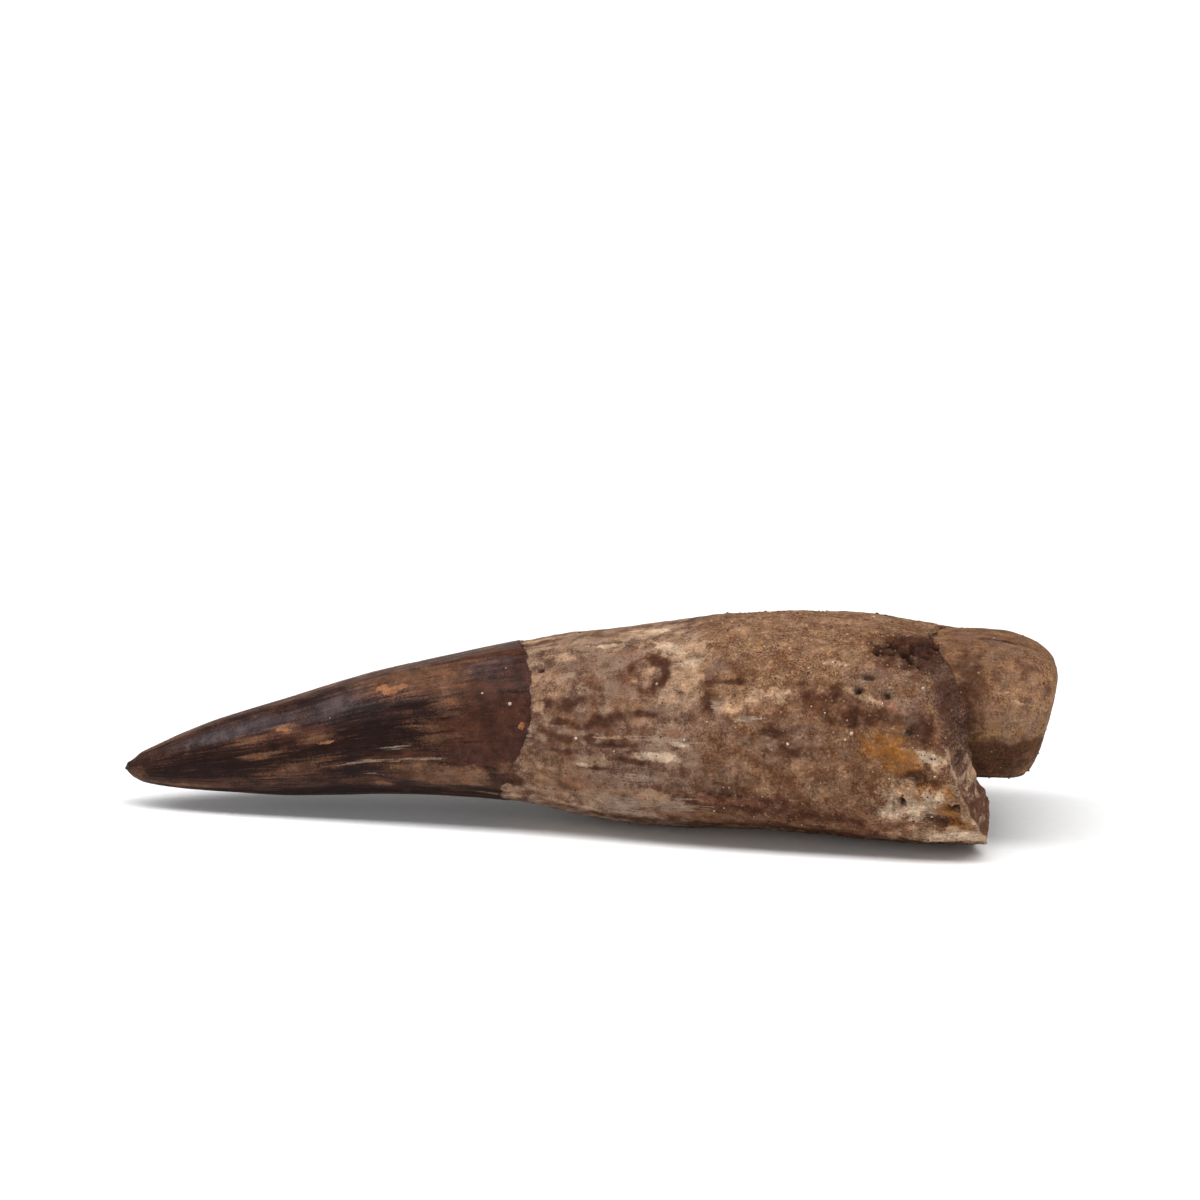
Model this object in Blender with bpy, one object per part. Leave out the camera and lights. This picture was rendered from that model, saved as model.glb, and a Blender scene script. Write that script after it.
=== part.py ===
"""Fossil spinosaurus tooth: crown, neck and root in one piece, lying on its side.

Units are metres and +Z is up. The tooth lies along X with its tip towards -X.
The origin is at the middle of the bottom of its bounding box.

The tooth is one loft of rounded sections from the tip to the broken edge of the
root wall. The same loft turns in over the fracture face, drops into the groove
around the core of the root and closes over the core's end.
"""

import math

import bmesh
import bpy
import numpy as np
from mathutils import Matrix, Vector, noise

MM = 0.001                      # one millimetre, in metres

# ---- Driving dimensions, in millimetres ---------------------------------------
# Angles run around the tooth in degrees: 0 faces -Y, 90 is the top, 180 faces +Y.

LENGTH = 85.0                   # tip of the crown to the end of the core
ORIGIN_ALONG = 42.25            # tip of the crown to the origin
AXIS_BOW = 1.8                  # how far the middle of the axis bows to +Y
SIDE_SHIFT = -1.2               # brings the middle of the width onto Y = 0

# Sections along the tooth: distance from the tip, underside, top, full width and
# squareness (2 is an ellipse, more is squarer).
SECTIONS = (
    (0.0, 3.65, 3.65, 0.0, 2.0),
    (3.0, 2.2, 5.85, 3.6, 2.0),
    (8.0, 1.65, 8.1, 6.5, 2.0),
    (16.0, 1.5, 10.75, 9.3, 2.0),
    (26.0, 2.0, 13.85, 12.0, 2.05),
    (37.0, 1.4, 16.35, 15.2, 2.15),
    (48.0, -0.2, 18.0, 18.6, 2.2),
    (58.0, -0.45, 19.3, 20.8, 2.2),
    (68.0, -0.45, 19.6, 21.0, 2.4),
    (77.0, 0.1, 18.35, 20.4, 2.5),
    (85.0, 0.6, 17.5, 19.6, 2.5),
)

# Shallow wear along the lower front.
WEAR_ALONG = 57.0               # its middle, from the tip
WEAR_HALF_LENGTH = 20.0
WEAR_ANGLE = -60.0              # its middle, around the tooth
WEAR_HALF_ANGLE = 36.0
WEAR_DEPTH = 0.65

# Edge where the root wall is broken off: angle, distance from the tip.
BREAK_EDGE = (
    (0.0, 75.5),
    (40.0, 72.9),
    (70.0, 71.4),
    (95.0, 73.4),
    (135.0, 76.4),
    (180.0, 78.2),
    (225.0, 76.6),
    (275.0, 77.6),
    (315.0, 78.5),
    (340.0, 76.9),
)
BREAK_WANDER = 0.3              # how far the broken edge wanders from that curve

# The fracture face slopes inwards from the broken edge to a rim, and drops from the
# rim into the groove around the core. Angle, distance along the tooth.
RIM_SHARE = 0.62                # the rim's place, from the wall's outside to the core
RIM_RUN = (
    (0.0, 1.5),
    (40.0, 2.5),
    (70.0, 2.0),
    (95.0, 0.5),
    (180.0, 0.8),
    (275.0, 0.1),
    (315.0, 0.2),
    (340.0, 0.8),
)
GROOVE_DEPTH = (
    (0.0, 0.9),
    (45.0, 0.3),
    (90.0, 0.0),
    (180.0, -0.2),
    (270.0, 1.4),
    (315.0, 1.9),
)

# Core of the root, which stands out past the broken wall.
CORE_SIDE = 2.2                 # centre, towards +Y
CORE_HEIGHT = 11.9              # centre, above the floor
CORE_HALF_WIDTH = 7.5
CORE_HALF_HEIGHT = 6.6
CORE_SQUARENESS = 2.5
CORE_TILT = 7.0                 # degrees that its section leans towards +Y
CORE_END_ROUNDING = ((0.0, 4.4), (90.0, 3.0), (180.0, 3.6), (270.0, 7.0))  # 2 is round
CORE_END_SLANT_TOP = 15.5       # below this height the end slopes back
CORE_END_SLANT = 0.26           # millimetres back for each millimetre down

# Soft dents and swellings of the whole tooth.
SWELL_SIZE = 13.0
SWELL_HEIGHT = 0.28

FLOOR_BLOCK_HEIGHT = 10.0

# ---- Mesh density ---------------------------------------------------------------

AROUND = 60
WALL_ROWS = 54
FACE_ROWS = 3
GROOVE_ROWS = 2
CORE_ROWS = 8
END_ROWS = 6
TIP_CROWDING = 1.35             # 1 spaces the wall's rows evenly, more crowds the tip
CORE_SIDE_SHARE = 0.8           # part of the core's length before its end rounds in

TOOTH_COLOUR = (0.155, 0.094, 0.062, 1.0)
TOOTH_ROUGHNESS = 0.55
SHARP_ANGLE = 40.0


def clear_scene():
    for old in list(bpy.data.objects):
        bpy.data.objects.remove(old, do_unlink=True)


def smooth_curve(knots, values, at):
    """Value at each place on a smooth curve through the knots."""
    knots = np.asarray(knots, float)
    values = np.asarray(values, float)
    steps = np.diff(knots)
    slopes = np.diff(values) / steps
    tangents = np.empty_like(values)
    blend = slopes[:-1] * steps[1:] + slopes[1:] * steps[:-1]
    tangents[1:-1] = blend / (steps[:-1] + steps[1:])
    tangents[0] = slopes[0]
    tangents[-1] = slopes[-1]
    span = np.clip(np.searchsorted(knots, at, side="right") - 1, 0, len(knots) - 2)
    width = steps[span]
    t = (at - knots[span]) / width
    near = (2 * t**3 - 3 * t**2 + 1) * values[span] + (t**3 - 2 * t**2 + t) * width * tangents[span]
    far = (3 * t**2 - 2 * t**3) * values[span + 1] + (t**3 - t**2) * width * tangents[span + 1]
    return near + far


def around_curve(table, degrees):
    """Value of an (angle, value) table at each angle, closed on itself."""
    angles = [angle for angle, _ in table]
    values = [value for _, value in table]
    knots = [angles[-2] - 360, angles[-1] - 360] + angles + [angles[0] + 360, angles[1] + 360]
    closed = [values[-2], values[-1]] + values + [values[0], values[1]]
    return smooth_curve(knots, closed, np.mod(degrees, 360.0))


def section_radius(degrees, half_width, half_height, squareness):
    """Distance from the centre of a rounded section to its outline."""
    smallest = 1e-6
    across = np.abs(np.cos(np.radians(degrees))) / np.maximum(half_width, smallest)
    upright = np.abs(np.sin(np.radians(degrees))) / np.maximum(half_height, smallest)
    return (across**squareness + upright**squareness) ** (-1.0 / squareness)


def lower_wear(along, degrees):
    """How deep the wear along the lower front goes."""
    ahead = (along - WEAR_ALONG) / WEAR_HALF_LENGTH
    turned = (np.mod(degrees - WEAR_ANGLE + 180, 360) - 180) / WEAR_HALF_ANGLE
    share = np.cos(np.pi / 2 * np.clip(ahead, -1, 1)) * np.cos(np.pi / 2 * np.clip(turned, -1, 1))
    return WEAR_DEPTH * share**2


def wall_point(along, degrees):
    """Points of the tooth's outer surface."""
    places, undersides, tops, widths, squares = zip(*SECTIONS)
    # The square root gives the tip its round nose.
    knots = np.sqrt(np.array(places) / LENGTH)
    at = np.sqrt(along / LENGTH)
    top = smooth_curve(knots, tops, at)
    underside = smooth_curve(knots, undersides, at)
    half_width = smooth_curve(knots, widths, at) / 2
    squareness = smooth_curve(knots, squares, at)
    radius = section_radius(degrees, half_width, (top - underside) / 2, squareness)
    radius = radius - lower_wear(along, degrees)
    share = along / LENGTH
    side = AXIS_BOW * 4 * share * (1 - share) + SIDE_SHIFT
    y = side - radius * np.cos(np.radians(degrees))
    z = (top + underside) / 2 + radius * np.sin(np.radians(degrees))
    return np.stack([along - ORIGIN_ALONG, y, z], axis=-1)


def broken_edge(degrees):
    """Distance from the tip to the broken edge of the wall, at each angle."""
    wander = []
    for angle in np.radians(degrees):
        on_circle = Vector((math.cos(angle), math.sin(angle), 0.0))
        coarse = noise.noise(on_circle * 2.3 + Vector((4.1, 0.0, 0.0)))
        fine = noise.noise(on_circle * 6.1 + Vector((0.0, 7.7, 0.0)))
        wander.append(coarse + 0.5 * fine)
    return around_curve(BREAK_EDGE, degrees) + BREAK_WANDER * np.array(wander)


def core_end(height):
    """Distance from the tip to the end of the core, at each height."""
    return LENGTH - CORE_END_SLANT * np.clip(CORE_END_SLANT_TOP - height, 0, None)


def core_point(start, forward, degrees):
    """Points of the core; forward runs from 0 at its start to 1 at its end."""
    rounding = around_curve(CORE_END_ROUNDING, degrees)
    out = (1 - forward**rounding) ** (1 / rounding)
    radius = section_radius(degrees - CORE_TILT, CORE_HALF_WIDTH, CORE_HALF_HEIGHT, CORE_SQUARENESS)
    y = CORE_SIDE + SIDE_SHIFT - out * radius * np.cos(np.radians(degrees))
    z = CORE_HEIGHT + out * radius * np.sin(np.radians(degrees))
    along = start + (core_end(z) - start) * forward
    return np.stack([along - ORIGIN_ALONG, y, z], axis=-1)


def core_steps():
    """How far forward each row of the core is: even on its side, closer on its end."""
    steps = [CORE_SIDE_SHARE * row / CORE_ROWS for row in range(1, CORE_ROWS + 1)]
    turned = math.asin(CORE_SIDE_SHARE)
    for row in range(1, END_ROWS):
        steps.append(math.sin(turned + (math.pi / 2 - turned) * row / END_ROWS))
    return steps


def tooth_rings():
    """Rings of points from the tip of the crown to the end of the core."""
    degrees = np.arange(AROUND) * 360.0 / AROUND
    edge = broken_edge(degrees)
    rim = edge + around_curve(RIM_RUN, degrees)
    start = rim - around_curve(GROOVE_DEPTH, degrees)
    rings = []
    for row in range(1, WALL_ROWS + 1):
        rings.append(wall_point(edge * (row / WALL_ROWS) ** TIP_CROWDING, degrees))
    outer = rings[-1]
    inner = core_point(start, 0.0, degrees)
    crest = outer + (inner - outer) * RIM_SHARE
    crest[:, 0] = rim - ORIGIN_ALONG
    for row in range(1, FACE_ROWS + 1):
        rings.append(outer + (crest - outer) * row / FACE_ROWS)
    for row in range(1, GROOVE_ROWS + 1):
        rings.append(crest + (inner - crest) * row / GROOVE_ROWS)
    for forward in core_steps():
        rings.append(core_point(start, forward, degrees))
    return rings


def loft(name, rings, first, last):
    """Closed mesh through the rings, with a point closing each end."""
    shape = bmesh.new()
    start = shape.verts.new(first)
    rows = [[shape.verts.new(point) for point in ring] for ring in rings]
    end = shape.verts.new(last)
    for side in range(AROUND):
        after = (side + 1) % AROUND
        shape.faces.new((start, rows[0][after], rows[0][side]))
        shape.faces.new((end, rows[-1][side], rows[-1][after]))
        for near, far in zip(rows, rows[1:]):
            shape.faces.new((near[side], near[after], far[after], far[side]))
    bmesh.ops.recalc_face_normals(shape, faces=shape.faces)
    shape.normal_update()
    for vert in shape.verts:
        vert.co += vert.normal * SWELL_HEIGHT * noise.noise(vert.co / SWELL_SIZE)
    mesh = bpy.data.meshes.new(name)
    shape.to_mesh(mesh)
    shape.free()
    return mesh


def tooth_material():
    material = bpy.data.materials.new("fossil_tooth")
    material.use_nodes = True
    shader = material.node_tree.nodes["Principled BSDF"]
    shader.inputs["Base Color"].default_value = TOOTH_COLOUR
    shader.inputs["Roughness"].default_value = TOOTH_ROUGHNESS
    shader.inputs["Metallic"].default_value = 0.0
    return material


def build_tooth(parts):
    tip = wall_point(np.zeros(1), np.zeros(1))[0]
    end = core_point(np.zeros(1), 1.0, np.zeros(1))[0]
    mesh = loft("tooth", tooth_rings(), tip, end)
    mesh.transform(Matrix.Scale(MM, 4))
    mesh.materials.append(tooth_material())
    mesh.shade_smooth()
    mesh.set_sharp_from_angle(angle=math.radians(SHARP_ANGLE))
    tooth = bpy.data.objects.new("tooth", mesh)
    parts.objects.link(tooth)
    return tooth


def floor_cutter(cutters):
    """Block under the floor, which takes the flat off the underside."""
    bpy.ops.mesh.primitive_cube_add(size=1.0)
    block = bpy.context.object
    block.name = "floor_block"
    block.scale = (1.5 * LENGTH * MM, LENGTH * MM, FLOOR_BLOCK_HEIGHT * MM)
    block.location.z = -FLOOR_BLOCK_HEIGHT * MM / 2
    bpy.ops.object.transform_apply(location=False, rotation=False, scale=True)
    for collection in list(block.users_collection):
        collection.objects.unlink(block)
    cutters.objects.link(block)
    block.hide_render = True
    block.display_type = "WIRE"
    return block


def cut_away(piece, cutter):
    cut = piece.modifiers.new("cut_" + cutter.name, "BOOLEAN")
    cut.operation = "DIFFERENCE"
    cut.solver = "EXACT"
    cut.object = cutter


def main():
    clear_scene()
    parts = bpy.data.collections.new("spinosaurus_tooth")
    cutters = bpy.data.collections.new("cutters")
    bpy.context.scene.collection.children.link(parts)
    bpy.context.scene.collection.children.link(cutters)
    tooth = build_tooth(parts)
    cut_away(tooth, floor_cutter(cutters))


main()
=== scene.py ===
"""Looks of a fossil spinosaurus tooth that lies loose on its side.

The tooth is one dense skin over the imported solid, with the fine relief and the
stains of its enamel, worn neck, sandy root, fracture face and core. Sand grains
that stick to it are a second piece. A pale floor, soft light and a camera follow.

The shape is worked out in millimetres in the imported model's own frame, and turned
to metres as each mesh is made. Places on the tooth are given by the distance from
the tip of the crown and by an angle around it: 0 faces -Y, 90 is the top, 180
faces +Y.
"""

import functools
import itertools
import math
from collections import namedtuple

import bpy
import numpy as np
from bpy.props import FloatProperty, FloatVectorProperty, IntProperty, PointerProperty
from mathutils import Matrix, Vector, noise


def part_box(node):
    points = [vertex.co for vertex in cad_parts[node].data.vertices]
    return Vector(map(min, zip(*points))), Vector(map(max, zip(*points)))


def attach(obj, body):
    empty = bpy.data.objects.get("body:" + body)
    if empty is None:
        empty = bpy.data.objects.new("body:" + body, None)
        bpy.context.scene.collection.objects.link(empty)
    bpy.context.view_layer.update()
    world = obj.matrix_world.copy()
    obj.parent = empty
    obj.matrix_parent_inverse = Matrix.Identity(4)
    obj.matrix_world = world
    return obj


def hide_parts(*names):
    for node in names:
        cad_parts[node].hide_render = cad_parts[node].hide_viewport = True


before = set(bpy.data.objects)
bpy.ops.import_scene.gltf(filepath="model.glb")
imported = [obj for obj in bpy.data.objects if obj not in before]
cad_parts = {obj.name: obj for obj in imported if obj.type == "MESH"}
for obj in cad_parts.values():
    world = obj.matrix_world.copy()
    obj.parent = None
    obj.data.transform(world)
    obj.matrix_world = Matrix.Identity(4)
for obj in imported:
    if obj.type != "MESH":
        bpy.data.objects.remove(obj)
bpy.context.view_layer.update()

bl_info = {
    "name": "Fossil Tooth",
    "version": (1, 0, 0),
    "blender": (4, 5, 0),
    "location": "3D View > Sidebar > Fossil Tooth",
    "description": "Builds a fossil spinosaurus tooth with its sand grains and a stage",
    "category": "Add Mesh",
}

MM = 0.001                      # one millimetre, in metres
NODE = "tooth"
BODY = "root"

# ---- Form of the tooth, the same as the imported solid's ----------------------------

LENGTH = 85.0                   # tip of the crown to the end of the core
ORIGIN_ALONG = 42.25            # tip of the crown to the origin
AXIS_BOW = 1.8                  # how far the middle of the axis bows to +Y
SIDE_SHIFT = -1.2               # brings the middle of the width onto Y = 0

# Distance from the tip, underside, top, full width and squareness.
SECTIONS = (
    (0.0, 3.65, 3.65, 0.0, 2.0),
    (3.0, 2.2, 5.85, 3.6, 2.0),
    (8.0, 1.65, 8.1, 6.5, 2.0),
    (16.0, 1.5, 10.75, 9.3, 2.0),
    (26.0, 2.0, 13.85, 12.0, 2.05),
    (37.0, 1.4, 16.35, 15.2, 2.15),
    (48.0, -0.2, 18.0, 18.6, 2.2),
    (58.0, -0.45, 19.3, 20.8, 2.2),
    (68.0, -0.45, 19.6, 21.0, 2.4),
    (77.0, 0.1, 18.35, 20.4, 2.5),
    (85.0, 0.6, 17.5, 19.6, 2.5),
)

# Shallow wear along the lower front.
WEAR_ALONG = 57.0               # its middle, from the tip
WEAR_HALF_LENGTH = 20.0
WEAR_ANGLE = -60.0              # its middle, around the tooth
WEAR_HALF_ANGLE = 36.0
WEAR_DEPTH = 0.65

# Edge where the root wall is broken off: angle, distance from the tip.
BREAK_EDGE = (
    (0.0, 75.5),
    (40.0, 72.9),
    (70.0, 71.4),
    (95.0, 73.4),
    (135.0, 76.4),
    (180.0, 78.2),
    (225.0, 76.6),
    (275.0, 77.6),
    (315.0, 78.5),
    (340.0, 76.9),
)
BREAK_WANDER = 0.3              # how far the broken edge wanders from that curve
BREAK_COARSE = 2.3              # waves of that wander, for each length of its radius
BREAK_FINE = 6.1
BREAK_FINE_SHARE = 0.5
BREAK_COARSE_START = (4.1, 0.0, 0.0)
BREAK_FINE_START = (0.0, 7.7, 0.0)

# The fracture face slopes inwards from the broken edge to a rim, and drops from the
# rim into the groove around the core. Angle, distance along the tooth.
RIM_SHARE = 0.62                # the rim's place, from the wall's outside to the core
RIM_RUN = (
    (0.0, 1.5),
    (40.0, 2.5),
    (70.0, 2.0),
    (95.0, 0.5),
    (180.0, 0.8),
    (275.0, 0.1),
    (315.0, 0.2),
    (340.0, 0.8),
)
GROOVE_DEPTH = (
    (0.0, 0.9),
    (45.0, 0.3),
    (90.0, 0.0),
    (180.0, -0.2),
    (270.0, 1.4),
    (315.0, 1.9),
)

# Core of the root, which stands out past the broken wall.
CORE_SIDE = 2.2                 # centre, towards +Y
CORE_HEIGHT = 11.9              # centre, above the floor
CORE_HALF_WIDTH = 7.5
CORE_HALF_HEIGHT = 6.6
CORE_SQUARENESS = 2.5
CORE_TILT = 7.0                 # degrees that its section leans towards +Y
CORE_END_ROUNDING = ((0.0, 4.4), (90.0, 3.0), (180.0, 3.6), (270.0, 7.0))  # 2 is round
CORE_END_SLANT_TOP = 15.5       # below this height the end slopes back
CORE_END_SLANT = 0.26           # millimetres back for each millimetre down

# Soft dents and swellings of the whole tooth.
SWELL_SIZE = 13.0
SWELL_HEIGHT = 0.28

# ---- Mesh density, under 200,000 triangles ------------------------------------------

AROUND = 240
WALL_ROWS = 318
FACE_ROWS = 14
GROOVE_ROWS = 10
CORE_ROWS = 34
END_ROWS = 20
TIP_CROWDING = 1.12             # 1 spaces the wall's rows evenly, more crowds the tip
CORE_SIDE_SHARE = 0.8           # part of the core's length before its end rounds in
WALL, FACE, GROOVE, CORE = range(4)  # parts of the skin
FLOW_GIRTH = 7.0                # radius of the coordinates that streaks follow
POLE_GAP = 0.3                  # from the first and the last row to the skin's ends, unrolled
ROOM_WIDTH = 3.0                # a broken face about this wide has all its relief
ROOM_OFFSET = 0.1
ROOM_LEAST = 0.05
NARROW, WIDE = 0.3, 0.8         # room where the face follows its sides, and where it doesn't

# ---- Boundaries of the finishes: angle, distance from the tip -------------------------

CROWN_EDGE = (
    (4.0, 37.9),
    (18.0, 38.3),
    (37.0, 38.2),
    (59.0, 37.7),
    (95.0, 36.4),
    (140.0, 35.2),
    (185.0, 36.7),
    (230.0, 37.4),
    (270.0, 36.0),
    (311.0, 35.2),
    (342.0, 36.4),
    (352.0, 37.1),
)
ROOT_EDGE = (
    (0.0, 53.5),
    (33.0, 53.3),
    (60.0, 53.0),
    (98.0, 52.2),
    (150.0, 54.0),
    (200.0, 52.4),
    (250.0, 53.6),
    (335.0, 52.7),
)

# The knot, a healed root hole in the neck: a dark ring around a pale boss.
KNOT_ALONG = 48.6
KNOT_DEGREES = 45.5
KNOT_RING = 1.6                 # radius of the ring's middle
KNOT_RING_WIDTH = 0.62
KNOT_RING_DEPTH = 0.14
KNOT_RING_EVEN = 0.7            # part of that depth that is the same all round
KNOT_RING_UNEVEN = 0.3          # and part that deepens towards the root
KNOT_BOSS = 1.1                 # radius of the boss
KNOT_WARP = 0.4                 # how much the warp of the stains bends the knot

# ---- Layers of smooth random height: weight, size and seed of each --------------------

EDGE_WANDER = ((0.22, 1.3, 31), (0.10, 0.6, 32))
RIM_WANDER = ((0.25, 1.7, 33),)
EDGE_CIRCLE = 9.0               # radius of the circle that both are read from
RIM_RUN_LEAST = 0.1
WARP_FORWARD = ((0.5, 2.6, 41), (0.2, 0.9, 42))
WARP_UPWARD = ((0.3, 2.2, 43), (0.16, 0.9, 44))
CROWN_WANDER = ((0.22, 1.1, 51), (0.09, 0.45, 52))
ROOT_WANDER = ((0.7, 2.8, 53), (0.3, 1.0, 54))
FLUTE_WANDER = ((0.10, 9.0, 61),)  # in radians
ENAMEL_WAVES = ((0.03, 0.9, 62),)
ENAMEL_STRETCH = (0.35, 1, 1)
NECK_STREAKS = ((0.6, 1.9, 63),)
NECK_STRETCH = (0.5, 1, 1)
NECK_BUMPS = ((0.4, 0.9, 64),)
ROOT_BUMPS = ((0.55, 3.0, 65), (0.45, 1.1, 66), (0.3, 0.6, 67))
PIT_CLUSTERS = ((1.0, 5.0, 69),)
FRACTURE_BUMPS = ((0.5, 2.2, 72), (0.35, 0.9, 73), (0.2, 0.5, 74))
CORE_BUMPS = ((0.6, 3.0, 75),)
CORE_STREAKS = ((0.4, 1.0, 76),)
CORE_STRETCH = (0.5, 1, 1)
BED_WAVES = ((0.35, 3.0, 77),)
LUMP_KNOBS = ((0.6, 0.8, 78),)
TIP_CHIPS = ((1.0, 1.2, 79),)
SAND_CLUSTERS = ((1.0, 3.2, 91), (0.5, 1.2, 92))
PORE_SCATTER = 0.45             # how far a pore lies from the middle of its cell, in cells

# ---- Stains ------------------------------------------------------------------------
# Each mark is an ellipse on the surface: distance from the tip, angle, half length,
# half width, tilt in degrees and strength. The wall, the core and the fracture face
# have marks of their own.

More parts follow.
